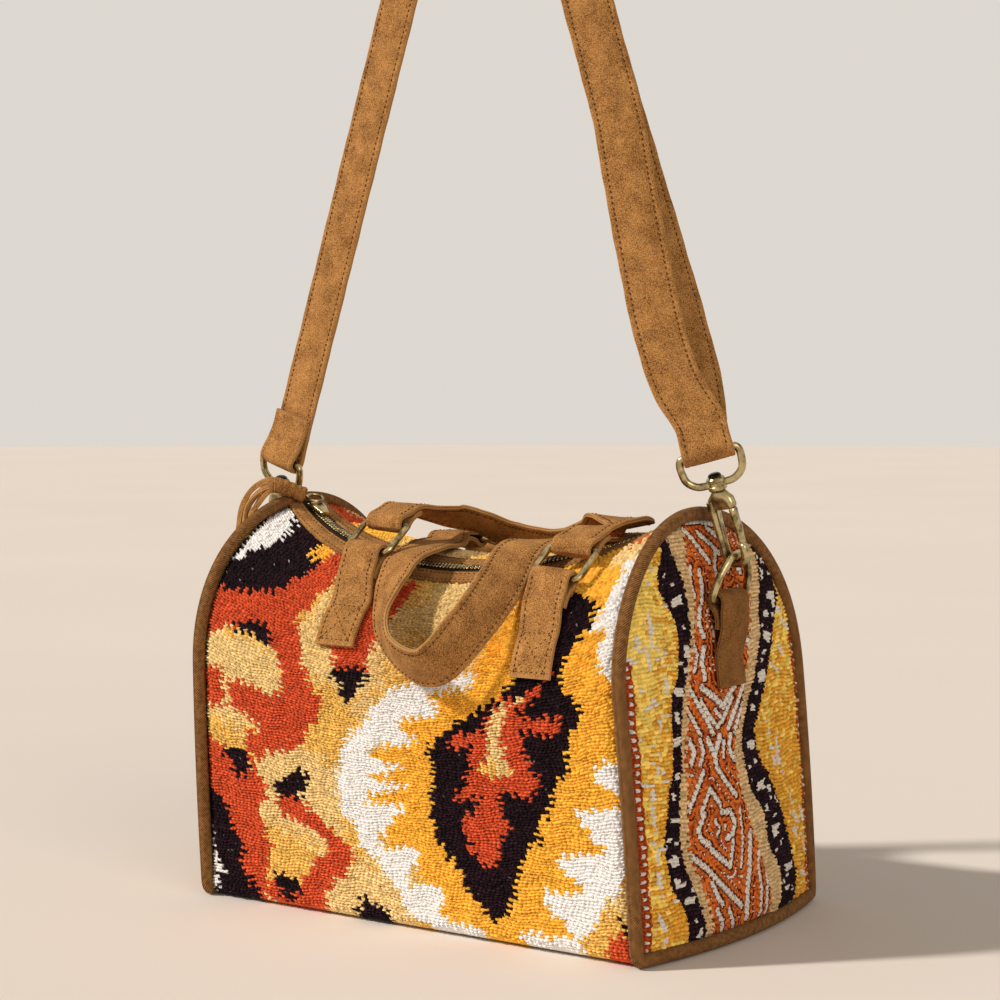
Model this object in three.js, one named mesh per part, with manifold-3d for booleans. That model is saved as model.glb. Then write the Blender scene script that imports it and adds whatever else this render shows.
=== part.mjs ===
// Boston bag of thick woven cloth with suede trim, a closed zip, two hand straps and a shoulder strap.
// Millimetres, +Z up. X runs along the bag, the front faces -Y and the base rests on Z = 0.
import * as THREE from 'three';
import Module from 'manifold-3d';
import { mergeVertices } from 'three/addons/utils/BufferGeometryUtils.js';

const wasm = await Module();
wasm.setup();

// Bag body
const BAG_LENGTH = 320;
const BAG_DEPTH = 208;
const END_HEIGHT = 250;
const DOME_HEIGHT = 100;
const SHOULDER_HEIGHT = END_HEIGHT - DOME_HEIGHT;
const SHOULDER_SAG = 13;
const ZIP_SAG = 37;
const ZIP_FORWARD = 35;
const TOP_LEAN = 20;
const END_LEAN = 12;
const END_BULGE = 14;
const END_RINGS = [1, 0.8, 0.55, 0.3];
const BASE_RADIUS = 10;
const PANEL_WALL = 4;
const PIPING_DIAMETER = 8;
const PIPING_SINK = 0.5;
const LINING_WALL = 1;
const BOARD_WALL = 2.5;
const BOARD_MARGIN = 12;
const SEAM_GAP = 0.3;
const LINING_GAP = 0.9;
const CLOTH_STATIONS = 16;

// Zip
const TAPE_WIDTH = 6;
const TAPE_WALL = 1.2;
const CHAIN_WIDTH = 3;
const CHAIN_HEIGHT = 2.2;
const FACING_WIDTH = 12;
const FACING_WALL = 2.4;
const SLIDER_LENGTH = 15;
const SLIDER_WIDTH = 10;
const SLIDER_HEIGHT = 4;
const SLIDER_GAP = 0.9;
const SLIDER_FROM_END = 20;
const SLIDER_ROLL_SHARE = 0.75;
const PULL_RING_DIAMETER = 12;
const PULL_WIRE = 1.8;
const PULL_OVERLAP = 4;
const TASSEL_HEAD_DIAMETER = 10;
const TASSEL_HEAD_LENGTH = 24;
const TASSEL_FRINGE_LENGTH = 40;
const TASSEL_FRINGE_DIAMETER = 18;
const TASSEL_HEAD_RUN = [-0.6, -0.75, 0.28];
const TASSEL_FLATNESS = 0.8;

// Hand straps, tabs and rectangular rings
const STRAP_WALL = 3;
const HAND_STRAP_WIDTH = 28;
const TAB_SPACING = 145;
const TAB_OFFSET = 24;
const BACK_TAB_OFFSET = 16;
const TAB_BOTTOM_DROP = 87;
const TAB_LEAVE_DROP = 62;
const TAB_RISE = 33;
const BACK_TAB_RISE = 30;
const TAB_RISE_LEAN = 0.36;
const RING_WIRE = 4;
const RING_INNER_WIDTH = 30;
const RING_PITCH = 24;
const FRONT_RING_LEAN = 0.85;
const BACK_RING_LEAN = 1.3;
const LOOP_GAP = 0.6;
const STUB_LENGTH = 17;
const SEWN_CLEARANCE = 0.9;
const FRONT_STRAP_CLIMB = 0.37;
const BACK_STRAP_CLIMB = 0.05;

// Routes of the hand straps over the bag, from one ring to the other. Each stop gives its distance along
// the bag from the left ring, its distance behind the crown (or below the end's height, where the strap
// hangs on the front), and its height above the cloth. Then comes the direction across the strap, or lie:
// 1 or -1 where the strap lies flat on the cloth with its width along the bag.
const FRONT_STRAP_ROUTE = [
  { along: 1, behind: -8, clear: 25, across: [1, -0.1, 0.15] },
  { along: 4, behind: 18, clear: 21, across: [0.85, -0.2, 0.4] },
  { along: 18, behind: 29, clear: 20, across: [0.5, -0.5, 0.4] },
  { along: 36, behind: 43, clear: 14, across: [0.12, -0.62, 0.7] },
  { along: 70, behind: 50, clear: 12, across: [0, -0.66, 0.74] },
  { along: 101, behind: 40, clear: 15.6, across: [-0.15, -0.66, 0.66] },
  { along: 116, behind: 27, clear: 21, across: [-0.6, -0.6, 0.12] },
  { along: 133, behind: 19, clear: 15.5, across: [-0.75, -0.5, 0.05] },
  { along: 146, behind: 6, clear: 11, across: [-0.95, -0.25, -0.2] },
  { along: 152, behind: -9, clear: 12, across: [-0.95, -0.05, -0.3] },
  { along: 150, behind: -24, clear: 13.5, across: [-0.95, 0, -0.3] },
];
const BACK_STRAP_ROUTE = [
  { along: 6, behind: 24, clear: 4.5, lie: 1 },
  { along: 18, behind: 0, clear: 4, lie: 1 },
  { along: 34, behind: -33, clear: 11, lie: 1 },
  { along: 38, behind: -62, clear: 19, across: [0.95, -0.2, 0] },
  { along: 41, below: 54, clear: 15, across: [0.87, -0.45, -0.1] },
  { along: 51, below: 74, clear: 17, across: [0.75, -0.6, 0.3] },
  { along: 70, below: 88, clear: 21, across: [0.35, -0.65, 0.65] },
  { along: 98, below: 92, clear: 25, across: [0, -0.55, 0.83] },
  { along: 120, below: 73, clear: 24, across: [-0.5, -0.4, 0.75] },
  { along: 123, below: 54, clear: 18, across: [-0.75, -0.35, 0.5] },
  { along: 118, behind: -53, clear: 20, across: [-0.95, -0.1, 0.15] },
  { along: 121, behind: -27, clear: 12, lie: -1 },
  { along: 131, behind: 2, clear: 5, lie: -1 },
  { along: 143, behind: 25, clear: 6.5, lie: -1 },
];

// End tabs, D-rings and snap hooks
const SHOULDER_STRAP_WIDTH = 30;
const END_TAB_BOTTOM_DROP = 101;
const END_TAB_TOP_DROP = 50;
const END_TAB_Y = -11;
const END_TAB_STANDOFF = 6.8;
const LEFT_END_DROP = 9;
const D_RING_WIRE = 4.5;
const D_RING_INNER_WIDTH = 34;
const D_RING_HEIGHT = 26;
const D_RING_LEAN = 0.28;
const D_RING_FOOT = 2;
const HOOK_WIRE = 5.2;
const HOOK_EYE_HALF = 6.6;
const HOOK_SPINE = 29;
const HOOK_HEAD_HEIGHT = 10;
const HOOK_HEAD_WIDTH = 18;
const HOOK_HEAD_DEPTH = 7;
const GATE_WIRE = 4.4;
const GATE_GAP = 0.8;
const SHANK_DIAMETER = 4.8;
const RIVET_DIAMETER = 8;
const RIVET_TOP_DIAMETER = 6;
const RIVET_HEIGHT = 2.2;
const COLLAR_DIAMETER = 11;
const COLLAR_HEIGHT = 8;
const LOOP_WIRE = 4.6;
const LOOP_RISE = 19;

// Shoulder strap
const STRAP_APEX_HEIGHT = 785;
const STRAP_APEX_RADIUS = 16;
const STRAP_FOLD_LENGTH = 30;
const APEX_X = -2;
const ADJUSTER_SHARE = 0.72;
const ADJUSTER_WIRE = 4;
const ADJUSTER_PITCH = 13;
const ADJUSTER_SPARE = 1;

// Heights that follow the height of the ends
const TAB_BOTTOM = END_HEIGHT - TAB_BOTTOM_DROP;
const TAB_LEAVE = END_HEIGHT - TAB_LEAVE_DROP;
const END_TAB_BOTTOM = END_HEIGHT - END_TAB_BOTTOM_DROP;
const END_TAB_TOP = END_HEIGHT - END_TAB_TOP_DROP;

const TUBE_SIDES = 8;
const ROD_SIDES = 20;
const UP = new THREE.Vector3(0, 0, 1);
const ALONG = new THREE.Vector3(1, 0, 0);
const HALF_LENGTH = BAG_LENGTH / 2;
const HALF_DEPTH = BAG_DEPTH / 2;

function vec(x, y, z) {
  return new THREE.Vector3(x, y, z);
}

// A point reached from a base point by steps along given directions.
function offset(base, ...steps) {
  const point = base.clone();
  for (const [direction, distance] of steps) point.addScaledVector(direction, distance);
  return point;
}

// Unit vector near a direction and square to an axis.
function squareTo(direction, axis) {
  return direction.clone().addScaledVector(axis, -direction.dot(axis)).normalize();
}

// Closed mesh from a list of vertices and triangles, with its faces turned outwards.
function closedGeometry(vertices, triangles) {
  let volume = 0;
  for (const [a, b, c] of triangles) {
    volume += vertices[a].dot(vertices[b].clone().cross(vertices[c]));
  }
  const turned = volume < 0 ? triangles.map(([a, b, c]) => [a, c, b]) : triangles;
  const geometry = new THREE.BufferGeometry();
  const flat = vertices.flatMap((p) => [p.x, p.y, p.z]);
  geometry.setAttribute('position', new THREE.Float32BufferAttribute(flat, 3));
  geometry.setIndex(turned.flat());
  geometry.computeVertexNormals();
  return geometry;
}

// Loft through rings of points. An open loft is capped by a strip across its first and last ring.
function loft(rings, closed = false) {
  const count = rings[0].length;
  const triangles = [];
  const spans = closed ? rings.length : rings.length - 1;
  for (let k = 0; k < spans; k += 1) {
    const here = k * count;
    const next = ((k + 1) % rings.length) * count;
    for (let i = 0; i < count; i += 1) {
      const j = (i + 1) % count;
      triangles.push([here + i, here + j, next + j], [here + i, next + j, next + i]);
    }
  }
  if (!closed) {
    const last = (rings.length - 1) * count;
    for (let i = 0; i < count / 2 - 1; i += 1) {
      const far = count - 1 - i;
      triangles.push([i, far, far - 1], [i, far - 1, i + 1]);
      triangles.push([last + i, last + far - 1, last + far], [last + i, last + i + 1, last + far - 1]);
    }
  }
  return closedGeometry(rings.flat(), triangles);
}

// Round wire along points that lie in one plane.
function wire(points, planeNormal, diameter, closed) {
  const rings = points.map((point, k) => {
    const before = points[closed ? (k + points.length - 1) % points.length : Math.max(k - 1, 0)];
    const after = points[closed ? (k + 1) % points.length : Math.min(k + 1, points.length - 1)];
    const tangent = after.clone().sub(before).normalize();
    const inPlane = planeNormal.clone().cross(tangent).normalize();
    return Array.from({ length: TUBE_SIDES }, (_, i) => {
      const angle = ((i + 0.5) / TUBE_SIDES) * 2 * Math.PI;
      const radius = diameter / 2;
      return offset(point, [inPlane, radius * Math.cos(angle)], [planeNormal, radius * Math.sin(angle)]);
    });
  });
  return loft(rings, closed);
}

// Flat strap along a smooth curve: each stop is [point, direction across the strap].
function ribbon(stops, width, wall, stepsPerSpan = 3) {
  const curve = new THREE.CatmullRomCurve3(stops.map((stop) => stop[0]), false, 'centripetal');
  const spans = stops.length - 1;
  const steps = spans * stepsPerSpan;
  const rings = Array.from({ length: steps + 1 }, (_, k) => {
    const t = k / steps;
    const point = curve.getPoint(t);
    const tangent = curve.getTangent(t).normalize();
    const index = Math.min(Math.floor(t * spans), spans - 1);
    const across = stops[index][1].clone().lerp(stops[index + 1][1], t * spans - index);
    across.addScaledVector(tangent, -across.dot(tangent)).normalize();
    const face = across.clone().cross(tangent);
    const corners = [[-1, -1], [1, -1], [1, 1], [-1, 1]];
    return corners.map(([w, h]) => offset(point, [across, (w * width) / 2], [face, (h * wall) / 2]));
  });
  return loft(rings);
}

// Solid for joining and cutting, from a closed geometry.
function toSolid(geometry) {
  const bare = geometry.clone();
  bare.deleteAttribute('normal');
  if (bare.hasAttribute('uv')) bare.deleteAttribute('uv');
  const merged = mergeVertices(bare, 1e-4);
  return new wasm.Manifold(new wasm.Mesh({
    numProp: 3,
    vertProperties: new Float32Array(merged.attributes.position.array),
    triVerts: new Uint32Array(merged.index.array),
  }));
}

function fromSolid(solid) {
  const mesh = solid.getMesh();
  const geometry = new THREE.BufferGeometry();
  geometry.setAttribute('position', new THREE.Float32BufferAttribute(mesh.vertProperties, 3));
  geometry.setIndex(Array.from(mesh.triVerts));
  geometry.computeVertexNormals();
  return geometry;
}

// Zip line: an arc in one tilted plane that sags down and forward between the two ends.
const ZIP_HALF = HALF_LENGTH - END_LEAN;
const ZIP_SAG_LENGTH = Math.hypot(ZIP_SAG, ZIP_FORWARD);
const ZIP_RADIUS = (ZIP_HALF ** 2 + ZIP_SAG_LENGTH ** 2) / (2 * ZIP_SAG_LENGTH);

function zipDip(x) {
  const inside = Math.min(Math.abs(x), ZIP_HALF);
  const drop = Math.sqrt(ZIP_RADIUS ** 2 - inside ** 2) - Math.sqrt(ZIP_RADIUS ** 2 - ZIP_HALF ** 2);
  return drop / ZIP_SAG_LENGTH;
}

function zipPoint(x) {
  const dip = zipDip(x);
  return vec(x, -TOP_LEAN - ZIP_FORWARD * dip, END_HEIGHT - ZIP_SAG * dip);
}

function lean(z) {
  return (TOP_LEAN * z) / END_HEIGHT;
}

// The ends lean in towards the top, so a station's points are drawn in as they rise.
function drawIn(x, z) {
  return x * (1 - (END_LEAN / HALF_LENGTH) * (z / END_HEIGHT) ** 2);
}

// The ends also swell out between front and back, most of all at the base.
function swell(x, y, z) {
  const middle = 1 - Math.min(Math.abs(y + lean(z)) / HALF_DEPTH, 1) ** 2;
  const low = 1 - Math.min(z / END_HEIGHT, 1) ** 2;
  return Math.sign(x) * END_BULGE * (Math.abs(x) / HALF_LENGTH) ** 3 * middle * low;
}

// Dome of the section whose station is x at the base.
function domeAt(x) {
  let dip = zipDip(x);
  for (let k = 0; k < 4; k += 1) dip = zipDip(drawIn(x, END_HEIGHT - ZIP_SAG * dip));
  const zipHeight = END_HEIGHT - ZIP_SAG * dip;
  const shoulder = SHOULDER_HEIGHT - SHOULDER_SAG * dip;
  const zipCos = (dip * (ZIP_FORWARD + (TOP_LEAN * ZIP_SAG) / END_HEIGHT)) / HALF_DEPTH;
  const zipAngle = Math.acos(Math.min(zipCos, 0.9));
  const crown = shoulder + (zipHeight - shoulder) / Math.sin(zipAngle);
  return { shoulder, crown, zipAngle };
}

function domePoint(dome, angle) {
  const z = dome.shoulder + (dome.crown - dome.shoulder) * Math.sin(angle);
  return new THREE.Vector2(-HALF_DEPTH * Math.cos(angle) - lean(z), z);
}

// Angle on the dome at a distance along the cloth from the zip, to the front (-1) or the back (1).
function domeAngle(dome, distance, side) {
  const step = 0.004;
  let angle = dome.zipAngle;
  let left = distance;
  let here = domePoint(dome, angle);
  while (left > 0) {
    const next = domePoint(dome, angle + side * step);
    const run = here.distanceTo(next);
    if (run >= left) return angle + (side * step * left) / run;
    left -= run;
    angle += side * step;
    here = next;
  }
  return angle;
}

function lowerPoint(side, z) {
  const drop = Math.max(BASE_RADIUS - z, 0);
  const inset = BASE_RADIUS - Math.sqrt(Math.max(BASE_RADIUS ** 2 - drop ** 2, 0));
  return new THREE.Vector2(side * (HALF_DEPTH - inset) - lean(z), z);
}

// Outline of a section from the front of the zip, round the base, to the back of the zip.
function sectionOutline(x, distance) {
  const dome = domeAt(x);
  const half = (side) => {
    const start = domeAngle(dome, distance, side);
    const end = side < 0 ? 0 : Math.PI;
    const points = [];
    const domeSteps = 9;
    for (let k = 0; k <= domeSteps; k += 1) {
      points.push(domePoint(dome, start + ((end - start) * k) / domeSteps));
    }
    const wallSteps = 3;
    for (let k = 1; k <= wallSteps; k += 1) {
      points.push(lowerPoint(side, dome.shoulder + ((BASE_RADIUS - dome.shoulder) * k) / wallSteps));
    }
    const cornerSteps = 4;
    for (let k = 1; k <= cornerSteps; k += 1) {
      points.push(lowerPoint(side, BASE_RADIUS * (1 - Math.sin((k / cornerSteps) * (Math.PI / 2)))));
    }
    return points;
  };
  return [...half(-1), ...half(1).reverse()];
}

// Stretch of a section between two distances from the zip, on one side of it.
function sectionStretch(x, from, to, side, steps) {
  const dome = domeAt(x);
  return Array.from({ length: steps + 1 }, (_, k) => (
    domePoint(dome, domeAngle(dome, from + ((to - from) * k) / steps, side))
  ));
}

// Normals of an open outline that runs from the front over the base to the back.
function outlineNormals(points) {
  return points.map((_, k) => {
    const before = points[Math.max(k - 1, 0)];
    const after = points[Math.min(k + 1, points.length - 1)];
    const run = after.clone().sub(before).normalize();
    return new THREE.Vector2(run.y, -run.x);
  });
}

function placeInSection(x, point) {
  return vec(drawIn(x, point.y) + swell(x, point.x, point.y), point.x, point.y);
}

// Cloth strip lofted along the bag: sectionAt gives its line, and the depths place its two faces off it.
function clothStrip(sectionAt, outerDepth, innerDepth, inwards = 1) {
  const limit = HALF_LENGTH - PIPING_DIAMETER / 2 - PIPING_SINK - SEAM_GAP;
  const rings = Array.from({ length: CLOTH_STATIONS + 1 }, (_, k) => {
    const x = -limit + (2 * limit * k) / CLOTH_STATIONS;
    const points = sectionAt(x);
    const normals = outlineNormals(points);
    const at = (depth) => points.map((p, i) => (
      placeInSection(x, p.clone().addScaledVector(normals[i], inwards * depth(i, points.length)))
    ));
    return [...at(outerDepth), ...at(innerDepth).reverse()];
  });
  return loft(rings);
}

function colouredMesh(name, geometry, colour, roughness, metalness = 0) {
  const material = new THREE.MeshStandardMaterial({ color: colour, roughness, metalness });
  const mesh = new THREE.Mesh(geometry, material);
  mesh.name = name;
  return mesh;
}

const cloth = (name, geometry) => colouredMesh(name, geometry, 0xd8893a, 0.95);
const stripedCloth = (name, geometry) => colouredMesh(name, geometry, 0xc9892e, 0.95);
const suede = (name, geometry) => colouredMesh(name, geometry, 0x8c5a2b, 0.9);
const brass = (name, geometry) => colouredMesh(name, geometry, 0x9a8650, 0.35, 1);
const tapeCloth = (name, geometry) => colouredMesh(name, geometry, 0x3a2a18, 0.85);
const liningCloth = (name, geometry) => colouredMesh(name, geometry, 0xb9a27c, 0.9);
const board = (name, geometry) => colouredMesh(name, geometry, 0x6b5b45, 0.9);

// Body panel, lining and base board
const PANEL_START = TAPE_WIDTH + FACING_WIDTH + 3 * SEAM_GAP;

function bodyPanel() {
  const section = (x) => sectionOutline(x, PANEL_START);
  return cloth('body_panel', clothStrip(section, () => 0, () => -PANEL_WALL));
}

function lining() {
  const section = (x) => sectionOutline(x, PANEL_START);
  const outer = PANEL_WALL + LINING_GAP;
  const walls = [() => -outer, () => -outer - LINING_WALL];
  return liningCloth('lining', clothStrip(section, ...walls));
}

function baseBoard() {
  const length = BAG_LENGTH - 2 * (PIPING_DIAMETER + BOARD_MARGIN);
  const depth = BAG_DEPTH - 2 * (BASE_RADIUS + BOARD_MARGIN);
  const geometry = new THREE.BoxGeometry(length, depth, BOARD_WALL);
  const mesh = board('base_board', geometry);
  mesh.position.z = PANEL_WALL + LINING_GAP + LINING_WALL + SEAM_GAP + BOARD_WALL / 2;
  return mesh;
}

// End panels and the pipings round them
function endOutline(inset, floor) {
  const points = sectionOutline(HALF_LENGTH, 0);
  points.pop();
  const normals = points.map((_, k) => {
    const before = points[(k + points.length - 1) % points.length];
    const after = points[(k + 1) % points.length];
    const run = after.clone().sub(before).normalize();
    return new THREE.Vector2(run.y, -run.x);
  });
  return points.map((p, k) => {
    const moved = p.clone().addScaledVector(normals[k], -inset);
    moved.y = Math.max(moved.y, floor);
    return moved;
  });
}

const PIPING_FLOOR = PIPING_DIAMETER / 2 + SEAM_GAP;

function piping(name, side) {
  const centre = endOutline(PIPING_SINK, PIPING_FLOOR);
  const station = side * (HALF_LENGTH - PIPING_SINK);
  const points = centre.map((p) => placeInSection(station, p));
  return suede(name, wire(points, ALONG, PIPING_DIAMETER, true));
}

function endPanel(name, side) {
  const clear = PIPING_DIAMETER / 2 + SEAM_GAP;
  const outline = endOutline(PIPING_SINK + clear, PIPING_FLOOR + clear);
  const count = outline.length;
  const middle = outline.reduce((sum, p) => sum.add(p), new THREE.Vector2()).divideScalar(count);
  const at = (p, depth) => {
    const placed = placeInSection(side * HALF_LENGTH, p);
    placed.x -= side * depth;
    return placed;
  };
  // Rings of one face from its outline in to its middle, so that the face swells as the cloth does
  const face = (depth) => END_RINGS.flatMap((share) => (
    outline.map((p) => at(middle.clone().lerp(p, share), depth))
  ));
  const vertices = [...face(0), at(middle, 0), ...face(PANEL_WALL), at(middle, PANEL_WALL)];
  const perFace = END_RINGS.length * count + 1;
  const triangles = [];
  for (let i = 0; i < count; i += 1) {
    const j = (i + 1) % count;
    triangles.push([i, j, perFace + j], [i, perFace + j, perFace + i]);
    for (let k = 0; k < END_RINGS.length - 1; k += 1) {
      const [a, b, c, d] = [k * count + i, k * count + j, (k + 1) * count + j, (k + 1) * count + i];
      triangles.push([a, c, b], [a, d, c]);
      triangles.push([perFace + a, perFace + b, perFace + c], [perFace + a, perFace + c, perFace + d]);
    }
    const last = (END_RINGS.length - 1) * count;
    triangles.push([last + i, perFace - 1, last + j]);
    triangles.push([perFace + last + i, perFace + last + j, 2 * perFace - 1]);
  }
  return stripedCloth(name, closedGeometry(vertices, triangles));
}

// Zip facings, and tapes whose inner edge is thickened into the chain of teeth
function zipFacing(name, side) {
  const from = TAPE_WIDTH + SEAM_GAP;
  const section = (x) => sectionStretch(x, from, from + FACING_WIDTH, side, 3);
  return suede(name, clothStrip(section, () => 0, () => FACING_WALL, side));
}

function zipTape(name, side) {
  const stops = [SEAM_GAP / 2, CHAIN_WIDTH, CHAIN_WIDTH + SEAM_GAP, TAPE_WIDTH];
  const section = (x) => {
    const dome = domeAt(x);
    return stops.map((distance) => domePoint(dome, domeAngle(dome, distance, side)));
  };
  const chain = CHAIN_HEIGHT - TAPE_WALL;
  const top = (i) => (i < 2 ? -chain : 0);
  return tapeCloth(name, clothStrip(section, top, () => TAPE_WALL, side));
}

// Frame of the slider on the zip line: along the zip, across it and out of it. Its roll is that of the
// cloth nearer the middle, so that it clears the tapes from one end of the zip to the other.
function zipFrame(x) {
  const step = 1;
  const along = zipPoint(x + step).sub(zipPoint(x - step)).normalize();
  const dome = domeAt(x * SLIDER_ROLL_SHARE);
  const a = domePoint(dome, domeAngle(dome, CHAIN_WIDTH, -1));
  const b = domePoint(dome, domeAngle(dome, CHAIN_WIDTH, 1));
  const across = vec(0, b.x - a.x, b.y - a.y);
  across.addScaledVector(along, -across.dot(along)).normalize();
  const out = along.clone().cross(across).normalize();
  return { along, across, out };
}

const SLIDER_X = -(ZIP_HALF - SLIDER_FROM_END);
const SLIDER_FRAME = zipFrame(SLIDER_X);
const SLIDER_FLOOR = CHAIN_HEIGHT - TAPE_WALL + SLIDER_GAP;

function zipSlider() {
  const { along, across, out } = SLIDER_FRAME;
  const seat = zipPoint(SLIDER_X);
  const shape = [[-0.5, 0.5], [-0.2, 0.42], [0.15, 0.36], [0.5, 0.3]];
  const rings = shape.map(([a, w]) => {
    const corners = [[-w, 0], [w, 0], [w * 0.8, SLIDER_HEIGHT], [-w * 0.8, SLIDER_HEIGHT]];
    return corners.map(([s, h]) => offset(
      seat,
      [along, a * SLIDER_LENGTH],
      [across, s * SLIDER_WIDTH],
      [out, SLIDER_FLOOR + h],
    ));
  });
  return brass('zip_slider', loft(rings));
}

// Pull ring: it lies over the slider's back end and carries the tassel.
const PULL_HEIGHT = SLIDER_FLOOR + SLIDER_HEIGHT + SEAM_GAP + PULL_WIRE / 2;

function pullCentre() {
  const reach = SLIDER_LENGTH / 2 + PULL_RING_DIAMETER / 2 - PULL_OVERLAP;
  return offset(zipPoint(SLIDER_X), [SLIDER_FRAME.along, -reach], [SLIDER_FRAME.out, PULL_HEIGHT]);
}

function pullRing() {
  const { along, across, out } = SLIDER_FRAME;
  const centre = pullCentre();
  const radius = (PULL_RING_DIAMETER - PULL_WIRE) / 2;
  const points = Array.from({ length: 16 }, (_, k) => {
    const angle = (k / 16) * 2 * Math.PI;
    return offset(centre, [along, radius * Math.cos(angle)], [across, radius * Math.sin(angle)]);
  });
  return brass('zip_pull_ring', wire(points, out, PULL_WIRE, true));
}

// Tassel: a bound head beyond the pull ring, then a fringe that hangs over the end of the bag.
function tassel() {
  const headRadius = TASSEL_HEAD_DIAMETER / 2;
  const headRun = vec(...TASSEL_HEAD_RUN);
  const start = offset(pullCentre(), [headRun, PULL_RING_DIAMETER / 2 + LOOP_GAP]);
  const knee = offset(start, [headRun, TASSEL_HEAD_LENGTH]);
  const clearX = -(HALF_LENGTH - END_LEAN + PIPING_DIAMETER + TASSEL_FRINGE_DIAMETER / 2);
  const bend = vec(clearX, knee.y - TASSEL_HEAD_DIAMETER / 2, knee.z - TASSEL_HEAD_LENGTH / 2);
  const front = vec(bend.x - 2, bend.y - 3, bend.z - TASSEL_FRINGE_LENGTH * 0.4);
  const tip = vec(bend.x - 1, bend.y - 4, bend.z - TASSEL_FRINGE_LENGTH);
  const curve = new THREE.CatmullRomCurve3([start, knee, bend, front, tip], false, 'centripetal');
  const steps = 14;
  const rings = Array.from({ length: steps + 1 }, (_, k) => {
    const t = k / steps;
    const point = curve.getPoint(t);
    const tangent = curve.getTangent(t).normalize();
    const across = vec(0, 1, 0).addScaledVector(tangent, -tangent.y).normalize();
    const face = tangent.clone().cross(across);
    const spread = THREE.MathUtils.smoothstep(t, 0.25, 0.6);
    const radius = headRadius + (TASSEL_FRINGE_DIAMETER / 2 - headRadius) * spread;
    return Array.from({ length: TUBE_SIDES }, (_unused, i) => {
      const angle = ((i + 0.5) / TUBE_SIDES) * 2 * Math.PI;
      const high = radius * TASSEL_FLATNESS * Math.sin(angle);
      return offset(point, [across, radius * Math.cos(angle)], [face, high]);
    });
  });
  return suede('zip_tassel', loft(rings));
}

// Point on the front (-1) or back (1) of the bag at a height, moved out from the cloth.
function wallPoint(x, side, z, out) {
  const at = (height) => {
    const dome = domeAt(x);
    if (height <= dome.shoulder) return lowerPoint(side, height);
    const rise = Math.min((height - dome.shoulder) / (dome.crown - dome.shoulder), 1);
    const angle = Math.asin(rise);
    return domePoint(dome, side < 0 ? angle : Math.PI - angle);
  };
  const step = 1;
  const run = at(z + step).clone().sub(at(z - step)).normalize();
  const point = at(z);
  return vec(x, point.x + side * run.y * out, point.y - side * run.x * out);
}

// Height of the cloth on top of the bag, over a place in plan.
function topHeight(x, y) {
  const dome = domeAt(x);
  let z = dome.crown;
  for (let k = 0; k < 12; k += 1) {
    const share = THREE.MathUtils.clamp((y + lean(z)) / HALF_DEPTH, -1, 1);
    z = dome.shoulder + (dome.crown - dome.shoulder) * Math.sqrt(1 - share ** 2);
  }
  return z;
}

function topPoint(x, y, clear) {
  return vec(x, y, topHeight(x, y) + clear);
}

// Direction along the bag on the cloth of its top.
function topAcross(x, y) {
  const half = HAND_STRAP_WIDTH / 2;
  return topPoint(x + half, y, 0).sub(topPoint(x - half, y, 0)).normalize();
}

// End of a strap sewn round a bar, from the tip of its stub to where the strap leaves the bar. The path
// gives distances along the strap and out of its face.
function sewnLoop(bar, barAxis, leave, outward, barWire, stub) {
  const radius = barWire / 2 + LOOP_GAP + STRAP_WALL / 2;
  const under = radius - STRAP_WALL - LOOP_GAP;
  const away = squareTo(leave, barAxis);
  const face = squareTo(squareTo(outward, barAxis), away);
  const path = [
    [stub, under],
    [stub * 0.7, under],
    [stub * 0.38, under - 1.6],
    [radius * 0.75, -radius * 0.85],
    [-radius * 0.25, -radius],
    [-radius, 0],
    [-radius * 0.25, radius],
    [stub * 0.45, radius],
    [stub, radius],
  ];
  return path.map(([t, n]) => [offset(bar, [away, t], [face, n]), barAxis]);
}

// Tabs on the front and back, each standing off the cloth above its sewn part
const TABS = [
  { name: 'front_left', x: TAB_OFFSET - TAB_SPACING / 2, side: -1, lift: 4 },
  { name: 'front_right', x: TAB_OFFSET + TAB_SPACING / 2, side: -1, lift: -4 },
  { name: 'back_left', x: BACK_TAB_OFFSET - TAB_SPACING / 2, side: 1, lift: 0 },
  { name: 'back_right', x: BACK_TAB_OFFSET + TAB_SPACING / 2, side: 1, lift: 4 },
];
const SEWN_OUT = SEWN_CLEARANCE + STRAP_WALL / 2;
const TAB_LOOP_RADIUS = RING_WIRE / 2 + LOOP_GAP + STRAP_WALL / 2;

function tabDirections(side) {
  const rise = vec(0, -side * TAB_RISE_LEAN, 1).normalize();
  const outward = squareTo(vec(0, side, 0), rise);
  return { rise, outward };
}

// Place in the bend of a tab, where its ring's bar lies.
function tabBar(tab) {
  const { rise, outward } = tabDirections(tab.side);
  const leavePoint = wallPoint(tab.x, tab.side, TAB_LEAVE + tab.lift, SEWN_OUT);
  const height = tab.side < 0 ? TAB_RISE : BACK_TAB_RISE;
  return offset(leavePoint, [rise, height], [outward, -TAB_LOOP_RADIUS]);
}

// Line that both rings of one side turn on, from the left tab to the right one.
function barLine(side) {
  const [left, right] = TABS.filter((tab) => tab.side === side).map(tabBar);
  return right.sub(left).normalize();
}

function ringFrame(tab) {
  const bar = tabBar(tab);
  const axis = barLine(tab.side);
  const angle = tab.side < 0 ? FRONT_RING_LEAN : BACK_RING_LEAN;
  const up = squareTo(vec(0, -tab.side * Math.sin(angle), Math.cos(angle)), axis);
  return { bar, axis, up, top: offset(bar, [up, RING_PITCH]) };
}

// Direction along the bag on the cloth of its front or back.
function wallAcross(x, side, z) {
  const half = HAND_STRAP_WIDTH / 2;
  return wallPoint(x + half, side, z, 0).sub(wallPoint(x - half, side, z, 0)).normalize();
}

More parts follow.
